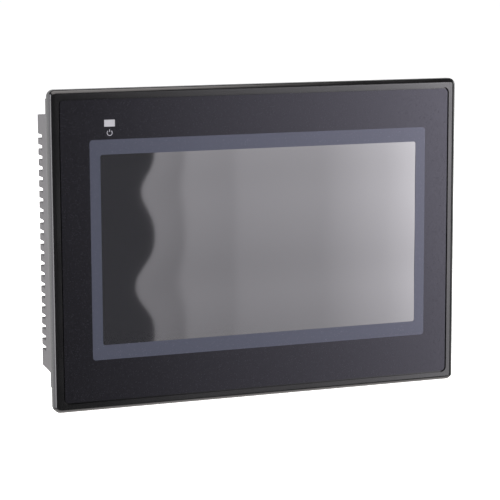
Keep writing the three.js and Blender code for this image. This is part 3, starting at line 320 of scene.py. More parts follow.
# %% The even lights
# Name, size, place, the point that it faces, strength and tint
EVEN_LIGHTS = (
    ("left_softbox", (1.55, 1.2), (-1.2, 0.7, 0.15), (0, 0.7, 0.1), 2.5, "#fcfaff"),
    ("left_strip", (0.45, 1.2), (-1.2, -0.3, 0.15), (0, -0.3, 0.1), 7.5, "#fcfaff"),
    ("top_softbox", (1.6, 2.0), (-0.3, -0.45, 1.35), (-0.3, -0.45, 0), 3.6, "#fffaf8"),
    ("right_softbox", (1.5, 1.2), (1.4, 0.45, 0.1), (0, 0.45, 0.1), 2.6, "#ffffff"),
    ("back_sheet", (3.6, 1.5), (-0.5, 1.4, 0.15), (-0.5, 0, 0.15), 0.9, "#ffffff"),
    ("under_glow", (1.2, 0.9), (0, 0.2, -0.4), (0, 0.2, 0), 2.4, "#fffaf8"),
)
for settings in EVEN_LIGHTS:
    soft_panel(*settings)
print("even lights:", len(EVEN_LIGHTS))

# %% [markdown]
# ## Materials
# Each finish is named for what the real part is made of and how its surface was made. All patterns read
# Object coordinates, turned to millimetres, so a pattern's scale is one over its real size and is the same on
# every piece.

# %% Coordinates in millimetres
def object_millimetres(material, scale=(1, 1, 1)):
    """Object coordinates in millimetres, stretched per axis where a pattern needs it."""
    place = add_node(material, "ShaderNodeTexCoord")
    to_mm = tuple(value / MM for value in scale)
    mapping = add_node(material, "ShaderNodeMapping", {"Vector": place.outputs["Object"], "Scale": to_mm})
    return mapping.outputs["Vector"]


# %% [markdown]
# Moulded plastic keeps the texture of its steel mould, which was spark-eroded to a fine grit. Real grit is
# about 0.1 mm across. It is drawn 0.3 mm across here, because finer grit would not show. The grit scatters
# light, so the surface is satin, and a slow change in roughness stands for handling and dust.

# %% Moulded plastics
def moulded_plastic(name, hex_value, roughness, grit, depth, bright=1.12):
    """ABS or polycarbonate from a spark-eroded mould. Grit and depth are in millimetres."""
    material, shader = new_material(name, Roughness=roughness, IOR=1.53)
    where = object_millimetres(material)
    cloud = add_node(material, "ShaderNodeTexNoise", {"Vector": where, "Scale": 0.03, "Detail": 3})
    base = colour(hex_value)
    light = (*[min(1, c * bright) for c in base[:3]], 1)
    mix = add_node(material, "ShaderNodeMix", {0: cloud.outputs["Fac"], 6: base, 7: light}, data_type="RGBA")
    connect(material, mix.outputs[2], shader, "Base Color")
    uneven_gloss(material, shader, cloud.outputs["Fac"], roughness, 0.05)
    fine = {"Vector": where, "Scale": 1 / grit, "Detail": 2, "Roughness": 0.6}
    sparks = add_node(material, "ShaderNodeTexNoise", fine)
    add_bump(material, shader, sparks.outputs["Fac"], depth * MM)
    return material


bezel_plastic = moulded_plastic("black_satin_abs", "#0c0c0d", 0.18, 0.3, 0.004)
case_plastic = moulded_plastic("dark_grey_textured_abs", "#4b4a4b", 0.55, 0.35, 0.02)
black_plastic = moulded_plastic("black_moulded_epoxy", "#141416", 0.5, 0.25, 0.006)
cream_plastic = moulded_plastic("cream_nylon", "#e6ddc6", 0.42, 0.4, 0.004, bright=1.04)
terminal_green = moulded_plastic("green_polyamide", "#2b7d46", 0.4, 0.4, 0.005)
gasket_rubber = moulded_plastic("foam_rubber", "#161616", 0.85, 0.5, 0.06)
milky_plastic = moulded_plastic("milky_acrylic", "#dcdcdf", 0.3, 0.6, 0.002, bright=1.03)
print("case plastic:", case_plastic.name)

# %% [markdown]
# The front is a sheet of polyester with a hard coat that is embossed to a fine satin, so it blurs what it
# mirrors. The inks lie behind it: black, with a blue-grey frame round the window. The satin's grains are about
# half a millimetre across, and they are drawn both as bump and as a speckle in the roughness.

# %% Printed film
def satin_film(name, hex_value, roughness):
    """Embossed polyester. Its faint violet mirror is the hard coat's."""
    material, shader = new_material(name, Base_Color=colour(hex_value), Roughness=roughness, IOR=1.45)
    shader.inputs["Specular Tint"].default_value = colour("#efedff")
    where = object_millimetres(material)
    satin = {"Vector": where, "Scale": 1.6, "Detail": 3, "Roughness": 0.75}
    grain = add_node(material, "ShaderNodeTexNoise", satin)
    uneven_gloss(material, shader, grain.outputs["Fac"], roughness, 0.06, low=0.35, high=0.65)
    add_bump(material, shader, grain.outputs["Fac"], 0.000004)
    return material


black_film = satin_film("black_printed_polyester", "#0e0e10", 0.22)
border_film = satin_film("blue_grey_printed_polyester", "#393c47", 0.22)
lamp_film = satin_film("white_printed_polyester", "#949498", 0.4)
legend_ink = satin_film("light_grey_ink", "#8f8f95", 0.45)
print("inks:", black_film.name, border_film.name)

# %% [markdown]
# The window is clear film over a conductive glass, with a display behind it that is off. Both sheets mirror
# the room: the film weakly, and the conductive layer, whose index is about 2, more strongly. Two sheets of
# glass could be modelled. One dark surface with a coat over it gives the same two mirrors at a lower cost, and
# slow folds keep what they mirror from being perfectly straight.

# %% Display window
def display_window():
    """A dark mirror under a clear coat, with slow folds that are longer up than across."""
    material, shader = new_material(
        "clear_film_over_conductive_glass",
        Base_Color=colour("#1a1a1e"),
        Roughness=0.035,
        IOR=2.2,
        Coat_Weight=1.0,
        Coat_Roughness=0.02,
        Coat_IOR=1.57,
    )
    where = object_millimetres(material, (1, 1, 0.45))
    slow = {"Vector": where, "Scale": 0.045, "Detail": 1.5, "Roughness": 0.4}
    folds = add_node(material, "ShaderNodeTexNoise", slow)
    add_bump(material, shader, folds.outputs["Fac"], 0.00002)
    return material


window_film = display_window()
print("window:", window_film.name)

# %% [markdown]
# Socket shells are rolled sheet with nickel plating, screws are zinc-plated, and the label is brushed foil.
# Rolling and brushing leave lines along one direction, so the same noise is stretched along that axis, and it
# moves both the gloss and the height a little.

# %% Metals
def plated_metal(name, hex_value, roughness, stretch=(1, 1, 1)):
    """Bright plating over stamped sheet: fine rolling lines, a little uneven in gloss."""
    material, shader = new_material(name, Base_Color=colour(hex_value), Metallic=1.0)
    where = object_millimetres(material, stretch)
    rolling = {"Vector": where, "Scale": 3, "Detail": 3, "Roughness": 0.6}
    lines = add_node(material, "ShaderNodeTexNoise", rolling)
    uneven_gloss(material, shader, lines.outputs["Fac"], roughness, 0.05)
    add_bump(material, shader, lines.outputs["Fac"], 0.000005)
    return material


nickel_plate = plated_metal("nickel_plated_sheet", "#cdc8bd", 0.22, (0.2, 1, 1))
bright_steel = plated_metal("zinc_plated_steel", "#b9bcc0", 0.3)
label_foil = plated_metal("brushed_label_foil", "#c4c6c9", 0.42, (0.06, 1, 2))
print("metals:", nickel_plate.name, bright_steel.name, label_foil.name)

# %% [markdown]
# A circuit board is glass and resin under a green lacquer. Only slivers of it show through the vents, so a
# brick pattern stands for the copper tracks instead of a drawn layout.

# %% Circuit board
def circuit_board():
    """Green solder resist over copper tracks, which show as slightly paler, raised bands."""
    material, shader = new_material("green_solder_resist", Roughness=0.3, IOR=1.5)
    where = object_millimetres(material)
    tracks = add_node(material, "ShaderNodeTexBrick", {"Vector": where, "Scale": 0.6, "Mortar Size": 0.06})
    for socket, hex_value in (("Color1", "#12472c"), ("Color2", "#164f31"), ("Mortar", "#25693f")):
        tracks.inputs[socket].default_value = colour(hex_value)
    connect(material, tracks.outputs["Color"], shader, "Base Color")
    add_bump(material, shader, tracks.outputs["Fac"], 0.00003)
    return material


board_green = circuit_board()
print("board:", board_green.name)

# %% [markdown]
# The last finishes are for small parts: the amber polyimide of the flat leads, the blue sleeve that is shrunk
# over the battery, and the dark glass of the display, with a little dust in its gloss. The table after them
# gives each CAD node the finish of its material slot.

# %% Flexible film, battery sleeve and display glass
flex_film = satin_film("amber_polyimide", "#a8652a", 0.28)
battery_sleeve = moulded_plastic("blue_shrink_sleeve", "#2f6cab", 0.3, 1.2, 0.01)
display_glass, glass_shader = new_material("dark_display_glass", Base_Color=colour("#202023"), Roughness=0.08)
glass_place = object_millimetres(display_glass)
dust = add_node(display_glass, "ShaderNodeTexNoise", {"Vector": glass_place, "Scale": 0.2})
uneven_gloss(display_glass, glass_shader, dust.outputs["Fac"], 0.09, 0.04, low=0, high=1)

# %% A finish for each slot
FINISH = {
    "bezel_plastic": bezel_plastic,
    "printed_film": black_film,
    "gasket_rubber": gasket_rubber,
    "display_glass": display_glass,
    "milky_plastic": milky_plastic,
    "bright_steel": bright_steel,
    "nickel_plate": nickel_plate,
    "circuit_board": board_green,
    "black_plastic": black_plastic,
    "cream_plastic": cream_plastic,
    "terminal_green": terminal_green,
    "flex_film": flex_film,
    "label_foil": label_foil,
    "battery_sleeve": battery_sleeve,
    "case_plastic": case_plastic,
}
for name, node in nodes.items():
    node.data.materials.clear()
    node.data.materials.append(FINISH[slot_of[name]])
print("materials:", len(bpy.data.materials))

# %% [markdown]
# ## Pieces
# Two ways of making a piece are used. A part whose CAD shape is right is copied, its loose triangles are
# merged, flat neighbours are joined, and its sharp edges are rounded, because no moulded or stamped edge is
# perfectly sharp. A part that needs more detail is modelled anew from a few simple shapes. The CAD meshes
# themselves stay as they are.

# %% Piece helpers
SMOOTH_BELOW = math.radians(35)  # edges that turn less than this are shaded as one surface
SHARP_ABOVE = math.radians(40)  # edges that turn more than this are rounded
FLAT_BELOW = math.radians(1)
MERGE_DISTANCE = 0.002 * MM


def make_piece(bm, name, body, materials, stands_for=()):
    """Turns a finished bmesh into an object that rides on a body and may stand for CAD nodes."""
    for face in bm.faces:
        face.smooth = True
    for edge in bm.edges:
        edge.smooth = edge.is_manifold and edge.calc_face_angle(0) < SMOOTH_BELOW
    mesh = bpy.data.meshes.new(name)
    bm.to_mesh(mesh)
    bm.free()
    for material in materials:
        mesh.materials.append(material)
    piece = bpy.data.objects.new(name, mesh)
    bpy.context.scene.collection.objects.link(piece)
    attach(piece, body)
    if stands_for:
        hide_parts(*stands_for)
    return piece


def merged_copy(node):
    """A bmesh of a CAD node with its triangles joined into flat faces."""
    bm = bmesh.new()
    bm.from_mesh(nodes[node].data)
    bmesh.ops.remove_doubles(bm, verts=bm.verts, dist=MERGE_DISTANCE)
    bmesh.ops.dissolve_limit(
        bm, angle_limit=FLAT_BELOW, verts=bm.verts, edges=bm.edges, use_dissolve_boundaries=False
    )
    return bm


def round_edges(bm, edges, radius, segments=2):
    """Rounds edges to a radius in millimetres."""
    bmesh.ops.bevel(
        bm,
        geom=edges,
        offset=radius * MM,
        offset_type="OFFSET",
        affect="EDGES",
        segments=segments,
        profile=0.5,
        material=-1,
        clamp_overlap=True,
    )


def sharp_edges(bm):
    """The edges that a mould or a press would have rounded."""
    return [e for e in bm.edges if e.is_manifold and e.calc_face_angle(0) > SHARP_ABOVE]


def weighted(piece):
    """Lets large flat faces keep their own direction, so a rounded edge doesn't tint them."""
    finish = piece.modifiers.new("flat_faces_stay_flat", "WEIGHTED_NORMAL")
    finish.keep_sharp = True
    return piece


def rounded_part(node, radius):
    """A CAD node's shape with its sharp edges rounded."""
    bm = merged_copy(node)
    round_edges(bm, sharp_edges(bm), radius)
    slot = slot_of[node]
    piece = make_piece(bm, node + "_rounded", body_of[node], [FINISH[slot]], [node])
    return weighted(piece)


print("edges are rounded above", round(math.degrees(SHARP_ABOVE)), "degrees")

# %% [markdown]
# ### The printed front film
# One sheet of polyester covers the whole front inside the rim. It is printed from behind: black, a blue-grey
# frame round the display, and a white patch over the lamp. The sheet could be one flat face with an image on
# it. Here the inks are separate faces of one thin mesh, so their edges stay crisp at any distance and the
# sheet keeps its real thickness at the groove. The outer outline is a square whose corners are bevelled, and
# each ring is split off the face inside it.

# %% Sizes of the film
film_low, film_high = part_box("overlay_film")
FILM_SIZE = ((film_high.x - film_low.x) / MM, (film_high.z - film_low.z) / MM)
FILM_FRONT = film_low.y / MM
FILM_THICKNESS = (film_high.y - film_low.y) / MM
BORDER_SIZE = (167.1, 101.2)  # width and height of the blue-grey frame
WINDOW_SIZE = (157.2, 87.6)
DISPLAY_HEIGHT = 0.4  # the display's centre is this far above the front's centre
DISPLAY_SHIFT = 0.9  # and the printed frame is this far to the right of it
lamp_low, lamp_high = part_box("led_light_pipe")
LAMP_CENTRE = ((lamp_low.x + lamp_high.x) / 2 / MM, 58.4)
LAMP_SIZE = (5.0, 3.1)
UPRIGHT = Matrix.Rotation(math.radians(90), 3, "X")  # turns a flat grid to face the front
print("film:", [round(value, 2) for value in FILM_SIZE], "mm,", round(FILM_THICKNESS, 2), "mm thick")


# %% Outlines and rings
def rounded_face(bm, size, corner, y):
    """Adds a rounded rectangle parallel to the front. All in millimetres."""
    corners = bmesh.ops.create_grid(bm, x_segments=1, y_segments=1, size=0.5)["verts"]
    bmesh.ops.scale(bm, vec=(size[0], size[1], 1), verts=corners)
    bmesh.ops.rotate(bm, matrix=UPRIGHT, verts=corners)
    bmesh.ops.translate(bm, vec=(0, y, 0), verts=corners)
    bmesh.ops.bevel(
        bm,
        geom=corners,
        offset=corner,
        affect="VERTICES",
        segments=6,
        profile=0.5,
        material=-1,
        clamp_overlap=True,
    )
    return next(iter(bm.faces))


def arc_centre(size, corner, centre, right, up):
    """The middle of one corner's arc. Right and up are 1 or -1."""
    return Vector((centre[0] + right * (size[0] / 2 - corner), 0, centre[1] + up * (size[1] / 2 - corner)))


def ring_inside(bm, face, old, new):
    """Splits a ring off a rounded face. Old and new are (size, corner radius, (centre x, centre height)).

    The face is extruded without moving, and then the points of each corner slide inwards and take the new
    corner's radius.
    """
    centre = old[2]
    shrink = new[1] / old[1]
    made = bmesh.ops.extrude_face_region(bm, geom=[face])
    inner = next(item for item in made["geom"] if isinstance(item, bmesh.types.BMFace))
    if face.is_valid:
        bm.faces.remove(face)
    for right in (-1, 1):
        for up in (-1, 1):
            group = [
                v for v in inner.verts if (v.co.x - centre[0]) * right > 0 and (v.co.z - centre[1]) * up > 0
            ]
            was = arc_centre(*old, right, up)
            bmesh.ops.scale(bm, vec=(shrink, 1, shrink), space=Matrix.Translation(-was), verts=group)
            bmesh.ops.translate(bm, vec=arc_centre(*new, right, up) - was, verts=group)
    return inner


# %% Rings of ink
film = bmesh.new()
FILM_OUTLINE = (FILM_SIZE, 2.0, (0, 0))  # size, corner radius and centre
BORDER_OUTLINE = (BORDER_SIZE, 1.5, (DISPLAY_SHIFT, DISPLAY_HEIGHT))
WINDOW_OUTLINE = (WINDOW_SIZE, 1.0, (DISPLAY_SHIFT, DISPLAY_HEIGHT))
sheet_face = rounded_face(film, FILM_SIZE, FILM_OUTLINE[1], FILM_FRONT)
border_face = ring_inside(film, sheet_face, FILM_OUTLINE, BORDER_OUTLINE)
black_faces = [f for f in film.faces if f is not border_face]
window_face = ring_inside(film, border_face, BORDER_OUTLINE, WINDOW_OUTLINE)
for face in film.faces:
    if face not in black_faces:
        face.material_index = 1
film.faces.remove(window_face)
print("faces of the rings:", len(film.faces))

# %% The lamp's patch
CUT_DISTANCE = 0.0001


def cut_patch(bm, centre, size, material_index):
    """Cuts a rectangular patch out of the faces that hold it, and gives it its own ink."""
    cuts = [
        ((centre[0] - size[0] / 2, 0, 0), (1, 0, 0)),
        ((centre[0] + size[0] / 2, 0, 0), (1, 0, 0)),
        ((0, 0, centre[1] - size[1] / 2), (0, 0, 1)),
        ((0, 0, centre[1] + size[1] / 2), (0, 0, 1)),
    ]

    def holds(face):
        xs = [v.co.x for v in face.verts]
        zs = [v.co.z for v in face.verts]
        return min(xs) < centre[0] < max(xs) and min(zs) < centre[1] < max(zs)

    for point, normal in cuts:
        faces = [f for f in bm.faces if holds(f)]
        geom = faces + list({e for f in faces for e in f.edges}) + list({v for f in faces for v in f.verts})
        bmesh.ops.bisect_plane(bm, geom=geom, plane_co=point, plane_no=normal, dist=CUT_DISTANCE)
    for face in bm.faces:
        middle = face.calc_center_median()
        inside = abs(middle.x - centre[0]) < size[0] / 2 and abs(middle.z - centre[1]) < size[1] / 2
        if inside and face.calc_area() < size[0] * size[1] * 1.05:  # the patch and no larger face
            face.material_index = material_index


cut_patch(film, LAMP_CENTRE, LAMP_SIZE, 2)

# %% Thickness of the film
bmesh.ops.recalc_face_normals(film, faces=film.faces)
if film.faces[0].normal.y > 0:
    bmesh.ops.reverse_faces(film, faces=film.faces)
bmesh.ops.solidify(film, geom=film.faces[:], thickness=FILM_THICKNESS)
bmesh.ops.scale(film, vec=(MM, MM, MM), verts=film.verts)
front_film = make_piece(
    film, "printed_front_film", "panel", [black_film, border_film, lamp_film], ["overlay_film"]
)
print("film:", len(front_film.data.polygons), "faces,", [round(v / MM, 2) for v in front_film.dimensions])

# %% [markdown]
# ### The window
# Inside the blue-grey frame the film is clear. It is held only at its edges, so it has slow waves that a flat
# plane lacks, and these show as folds in whatever it mirrors. Bump would only shade them, so a grid of small
# squares carries them. They are strongest near the window's left third, where the film was pressed down last,
# and fade to the right. Each wave is given by its slope, its length and where it starts.

# %% Window
WINDOW_STEP = 1.5
WINDOW_THICKNESS = 0.02
WINDOW_SINK = 0.17  # behind the film's front
WINDOW_LAP = 1.2  # how far the clear sheet runs on behind the printed frame
WAVE_CENTRE = -57.0  # where the waves are steepest, from the middle of the front
WAVE_WIDTH = 14.0
WAVES = ((-0.0036, 42, -4), (0.0018, 84, 20))  # slope, length, and shift of the waves' start
RIPPLE_SLOPE = 0.0005
RIPPLE_LENGTH = 23
window = bmesh.new()
window_span = (WINDOW_SIZE[0] + 2 * WINDOW_LAP, WINDOW_SIZE[1] + 2 * WINDOW_LAP)
bmesh.ops.create_grid(
    window,
    x_segments=round(window_span[0] / WINDOW_STEP),
    y_segments=round(window_span[1] / WINDOW_STEP),
    size=0.5,
)
bmesh.ops.scale(window, vec=(window_span[0], window_span[1], 1), verts=window.verts)
bmesh.ops.rotate(window, matrix=UPRIGHT, verts=window.verts)
bmesh.ops.translate(window, vec=(DISPLAY_SHIFT, FILM_FRONT + WINDOW_SINK, DISPLAY_HEIGHT), verts=window.verts)
for vert in window.verts:
    x, z = vert.co.x, vert.co.z
    steepness = sum(slope * math.cos(math.tau * (z + shift) / length) for slope, length, shift in WAVES)
    steepness += RIPPLE_SLOPE * math.sin(math.tau * z / RIPPLE_LENGTH)
    vert.co.y += steepness * WAVE_WIDTH * math.tanh((x - WAVE_CENTRE) / WAVE_WIDTH)
bmesh.ops.solidify(window, geom=window.faces[:], thickness=WINDOW_THICKNESS)
bmesh.ops.scale(window, vec=(MM, MM, MM), verts=window.verts)
clear_window = make_piece(window, "clear_window", "panel", [window_film])
print("window:", len(clear_window.data.polygons), "faces")

# %% [markdown]
# ### The lamp's legend
# A small mark under the lamp says what it is for: an open ring with a bar, the common sign for power. It is a
# thin layer of ink. The ring is a short flat edge spun round most of a circle.

# %% Legend
LEGEND_RADIUS = 1.2
LEGEND_LINE = 0.3
LEGEND_DROP = 4.4  # below the lamp's centre
LEGEND_OPENING = math.radians(80)
RING_STEPS = 26
BAR_LENGTH = 1.2
BAR_RISE = 1.0  # the bar's middle, above the ring's centre
INK = 0.02
legend = bmesh.new()
first = legend.verts.new((0, 0, LEGEND_RADIUS - LEGEND_LINE / 2))
second = legend.verts.new((0, 0, LEGEND_RADIUS + LEGEND_LINE / 2))
profile = [legend.edges.new((first, second))]
bmesh.ops.rotate(legend, matrix=Matrix.Rotation(LEGEND_OPENING / 2, 3, "Y"), verts=[first, second])
bmesh.ops.spin(
    legend,
    geom=profile + [first, second],
    cent=(0, 0, 0),
    axis=(0, 1, 0),
    angle=math.tau - LEGEND_OPENING,
    steps=RING_STEPS,
    use_merge=False,
)
bar = bmesh.ops.create_grid(legend, x_segments=1, y_segments=1, size=0.5)["verts"]
bmesh.ops.scale(legend, vec=(LEGEND_LINE, BAR_LENGTH, 1), verts=bar)
bmesh.ops.rotate(legend, matrix=UPRIGHT, verts=bar)
bmesh.ops.translate(legend, vec=(0, 0, BAR_RISE), verts=bar)
for face in legend.faces:
    face.normal_update()
    if face.normal.y > 0:
        face.normal_flip()
bmesh.ops.solidify(legend, geom=legend.faces[:], thickness=INK)
bmesh.ops.translate(
    legend, vec=(LAMP_CENTRE[0], FILM_FRONT - INK, LAMP_CENTRE[1] - LEGEND_DROP), verts=legend.verts
)
bmesh.ops.scale(legend, vec=(MM, MM, MM), verts=legend.verts)
power_sign = make_piece(legend, "power_sign", "panel", [legend_ink])
print("legend:", len(power_sign.data.polygons), "faces")

# %% [markdown]
# ### The bezel and the small parts
# The bezel's outer edge already has its radius in the CAD, so only the small edges of its groove are broken.
# Mouldings have edges of about 0.2 mm, and screws and sliders finer ones. Each part would look right with one
# Bevel modifier too, but a modifier can't tell a real edge from the seam between two triangles.

# %% Bezel and small parts
ROUNDED = (  # radius in millimetres, and the parts that have it
    (0.2, ("front_bezel",)),
    (0.3, ("panel_gasket",)),
    (0.2, ("battery_cover", "power_socket")),
    (0.25, ("power_plug",)),
    (0.08, ("terminal_screw_1", "terminal_screw_2", "terminal_screw_3")),
    (0.15, ("com1_jackscrew_1", "com1_jackscrew_2", "com2_jackscrew_1", "com2_jackscrew_2")),
    (0.12, ("case_screw_1", "case_screw_2", "case_screw_3", "case_screw_4")),
    (0.1, ("dip_switch_body",)),
    (0.08, ("dip_slider_1", "dip_slider_2")),
    (0.15, ("reset_button",)),
)
for radius, names in ROUNDED:
    for name in names:
        part = rounded_part(name, radius)
        print(name, "has", len(part.data.polygons), "faces")

# %% [markdown]
# ### The rear case
# The case is one deep moulding. It has 21 slots that wrap round each upright back corner to let warm air out,
# a large radius along its back edges, and small ones everywhere else. The large radius is made first, on the
# edges that lie on the outline of the back, and the vents' small edges after it.

# %% Rear case
case_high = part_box("rear_case")[1]
BACK_RADIUS = 1.0
EDGE_RADIUS = 0.25
BACK_HALF_HEIGHT = 59 * MM  # the back face ends a little above this
NEAR = 0.01 * MM
case = merged_copy("rear_case")


def on_back_outline(edge):
    """True for the edges round the back face."""
    for vert in edge.verts:
        at_side = case_high.x - abs(vert.co.x) < NEAR
        at_end = abs(vert.co.z) > BACK_HALF_HEIGHT
        if not (at_side or at_end) or vert.co.y < case_high.y - NEAR:
            return False
    return True


back_edges = [e for e in sharp_edges(case) if on_back_outline(e)]
round_edges(case, back_edges, BACK_RADIUS, 3)
round_edges(case, sharp_edges(case), EDGE_RADIUS)
rear_case = make_piece(case, "rear_case_rounded", "panel", [case_plastic], ["rear_case"])
weighted(rear_case)
print("rear case:", len(back_edges), "back edges,", len(rear_case.data.polygons), "faces")

# %% [markdown]
# ### The sockets of the network and the two USB leads
# Each socket is a folded, plated shell round a moulded insulator. The faces inside the mouth belong to the
# insulator, so they take the plastic. A second piece would be truer, but nothing between the two is seen.

# %% Shells with insulators
SHELL_WALL = 0.45
MOUTH_LIP = 0.25  # the shell's own metal shows this far into the mouth
SHELL_END = 0.2


def lined_socket(node, radius):
    """A rounded shell whose faces inside the mouth take the insulator's plastic."""
    low, high = (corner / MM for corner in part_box(node))
    bm = merged_copy(node)
    round_edges(bm, sharp_edges(bm), radius)
    for face in bm.faces:
        middle = face.calc_center_median() / MM
        inside = all(low[axis] + SHELL_WALL < middle[axis] < high[axis] - SHELL_WALL for axis in (0, 1))
        if inside and low.z + MOUTH_LIP < middle.z < high.z - SHELL_END:
            face.material_index = 1
    piece = make_piece(bm, node + "_lined", body_of[node], [nickel_plate, black_plastic], [node])
    return weighted(piece)


for node, radius in (("lan_port", 0.12), ("usb_slave_port", 0.1), ("usb_host_port", 0.08)):
    part = lined_socket(node, radius)
    print(node, "has", len(part.data.polygons), "faces")

# %% [markdown]
# A row of thin springs lies in each mouth. They are stamped from bronze and flashed with gold where they touch
# the plug. Each is a plain bar with its edges just broken, because no more of it can be seen.

# %% Bars and rows
gold = plated_metal("gold_flash", "#d9b25a", 0.25)


def small_bars(name, boxes, material, rounding=0):
    """Small bars in one piece. Each box is (size, centre), in millimetres."""
    bm = bmesh.new()
    for size, centre in boxes:
        made = bmesh.ops.create_cube(bm, size=1)["verts"]
        bmesh.ops.scale(bm, vec=size, verts=made)
        bmesh.ops.translate(bm, vec=centre, verts=made)
    bmesh.ops.scale(bm, vec=(MM, MM, MM), verts=bm.verts)
    if rounding:
        round_edges(bm, bm.edges[:], rounding, 1)
    return make_piece(bm, name, "panel", [material])


def row(count, pitch, size, centre):
    """Boxes for a row of equal bars along X."""
    first = centre[0] - (count - 1) * pitch / 2
    return [(size, (first + index * pitch, *centre[1:])) for index in range(count)]


print("gold:", gold.name)

# %% Contact springs
lan_low, lan_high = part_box("lan_port")
host_low, host_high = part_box("usb_host_port")
slave_low, slave_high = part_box("usb_slave_port")
lan_x, host_x, slave_x = (
    (low.x + high.x) / 2 / MM
    for low, high in ((lan_low, lan_high), (host_low, host_high), (slave_low, slave_high))
)
board_y = lan_low.y / MM
mouth_z = lan_low.z / MM
SPRING_EDGE = 0.03
SPRINGS = {  # number, pitch, size of a spring, and its centre
    "lan_springs": row(8, 1.02, (0.45, 0.35, 9), (lan_x, board_y + 2.47, mouth_z + 5.4)),
    "usb_host_contacts": row(4, 2.3, (1, 0.12, 6.5), (host_x, board_y + 3.21, mouth_z + 4.8)),
    "usb_slave_contacts": row(2, 2.5, (0.9, 0.12, 6), (slave_x, board_y + 3.81, mouth_z + 4.8))
    + row(2, 2.5, (0.9, 0.12, 6), (slave_x, board_y + 7.09, mouth_z + 4.8)),
}
for name, boxes in SPRINGS.items():
    piece = small_bars(name, boxes, gold, SPRING_EDGE)
    print(name, "has", len(boxes), "springs")

# %% [markdown]
# ### The serial sockets
# A serial socket has a D-shaped shell round a black insulator with nine contacts in two rows. The shell's end
# is solid in the CAD, so its face is inset to leave the sheet's thickness, and the middle is sunk and takes
# the insulator's plastic. Each contact is a short collar with a hole: a disc that is raised, inset, and sunk
# again.

# %% Shells of the serial sockets
SHELL_SHEET = 0.45
SHELL_RADIUS = 0.1
INSULATOR_SINK = 0.4


def serial_socket(node):
    """The CAD shape with its end hollowed to the insulator."""
    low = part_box(node)[0]
    bm = merged_copy(node)
    end = max((f for f in bm.faces if f.calc_center_median().z < low.z + NEAR), key=lambda f: f.calc_area())
    bmesh.ops.inset_region(bm, faces=[end], thickness=SHELL_SHEET * MM, use_even_offset=True)
    made = bmesh.ops.extrude_face_region(bm, geom=[end])["geom"]
    if end.is_valid:
        bm.faces.remove(end)
    floor_face = next(item for item in made if isinstance(item, bmesh.types.BMFace))
    bmesh.ops.translate(bm, vec=(0, 0, INSULATOR_SINK * MM), verts=list(floor_face.verts))
    floor_face.material_index = 1
    round_edges(bm, [e for e in sharp_edges(bm) if floor_face not in e.link_faces], SHELL_RADIUS)
    piece = make_piece(bm, node + "_socket", "panel", [nickel_plate, black_plastic], [node])
    return weighted(piece)


print("shell sheet:", SHELL_SHEET, "mm")

# %% Contacts of the serial sockets
COLLAR_RADIUS = 0.72
COLLAR_SIDES = 12
COLLAR_WALL = 0.2
COLLAR_RISE = 0.2
HOLE_DEPTH = 0.19
CONTACT_PITCH = 2.77
ROW_PITCH = 2.84


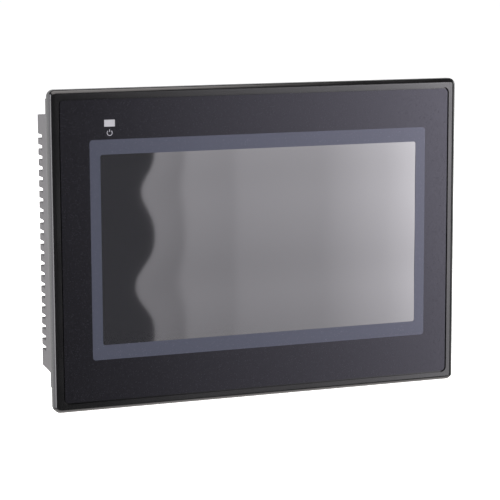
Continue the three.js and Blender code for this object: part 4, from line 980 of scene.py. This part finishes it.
def serial_contacts(name, centre_x, centre_y, floor_z):
    """Five collars in the wide row and four in the narrow one, round a centre in millimetres."""
    bm = bmesh.new()
    wide = [((index - 2) * CONTACT_PITCH, -ROW_PITCH / 2) for index in range(5)]
    narrow = [((index - 1.5) * CONTACT_PITCH, ROW_PITCH / 2) for index in range(4)]
    for x, y in wide + narrow:
        made = bmesh.ops.create_circle(bm, cap_ends=True, segments=COLLAR_SIDES, radius=COLLAR_RADIUS)["verts"]
        bmesh.ops.translate(bm, vec=(centre_x + x, centre_y + y, floor_z), verts=made)
    discs = list(bm.faces)
    bmesh.ops.reverse_faces(bm, faces=[f for f in discs if f.normal.z > 0])
    raised = bmesh.ops.extrude_discrete_faces(bm, faces=discs)["faces"]
    bmesh.ops.translate(bm, vec=(0, 0, -COLLAR_RISE), verts=[v for f in raised for v in f.verts])
    bmesh.ops.inset_individual(bm, faces=raised, thickness=COLLAR_WALL)
    sunk = bmesh.ops.extrude_discrete_faces(bm, faces=raised)["faces"]
    bmesh.ops.translate(bm, vec=(0, 0, HOLE_DEPTH), verts=[v for f in sunk for v in f.verts])
    for face in sunk:
        face.material_index = 1
    bmesh.ops.holes_fill(bm, edges=[e for e in bm.edges if e.is_boundary])
    bmesh.ops.recalc_face_normals(bm, faces=bm.faces)
    bmesh.ops.scale(bm, vec=(MM, MM, MM), verts=bm.verts)
    return make_piece(bm, name, "panel", [gold, black_plastic])


for number in (1, 2):
    serial_socket(f"com{number}_port")
    low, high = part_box(f"com{number}_port")
    screws_low, screws_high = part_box(f"com{number}_jackscrew_1")
    serial_contacts(
        f"com{number}_contacts",
        (low.x + high.x) / 2 / MM,
        (screws_low.y + screws_high.y) / 2 / MM,
        low.z / MM + INSULATOR_SINK,
    )
    print("serial socket", number, "at x", round((low.x + high.x) / 2 / MM, 1), "mm")

# %% [markdown]
# ### The rating label
# The label on the back is a foil with ruled boxes. The boxes are left empty here. The rules could be drawn by
# the material, but thin bars of ink on the foil stay sharp at any distance.

# %% Label rules
label_low, label_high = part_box("rating_label")
label_middle = ((label_low.x + label_high.x) / 2 / MM, (label_low.z + label_high.z) / 2 / MM)
LABEL_MARGIN = 3
INK_LINE = 0.35  # thickness of a printed rule
ROWS = 5
COLUMN_EDGES = (-0.5, -0.15, 0.5)  # parts of the width, from the middle
label_size = [span / MM - 2 * LABEL_MARGIN for span in (label_high.x - label_low.x, label_high.z - label_low.z)]
ink_y = label_high.y / MM + INK / 2
rules = []
for step in range(ROWS + 1):
    z = label_middle[1] + label_size[1] * (step / ROWS - 0.5)
    rules.append(((label_size[0] + INK_LINE, INK, INK_LINE), (label_middle[0], ink_y, z)))
for fraction in COLUMN_EDGES:
    x = label_middle[0] - label_size[0] * fraction
    rules.append(((INK_LINE, INK, label_size[1]), (x, ink_y, label_middle[1])))
small_bars("label_rules", rules, black_film)
print("label rules:", len(rules))

# %% [markdown]
# ## The end
# The CAD model's box and the finished model's box are gathered side by side, so that the two can be compared,
# and the finished one is printed.

# %% Box sizes
size_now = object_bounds()
boxes = {"cad": [list(corner) for corner in cad_box], "visual": [list(corner) for corner in size_now]}
print("visual box:", boxes["visual"])
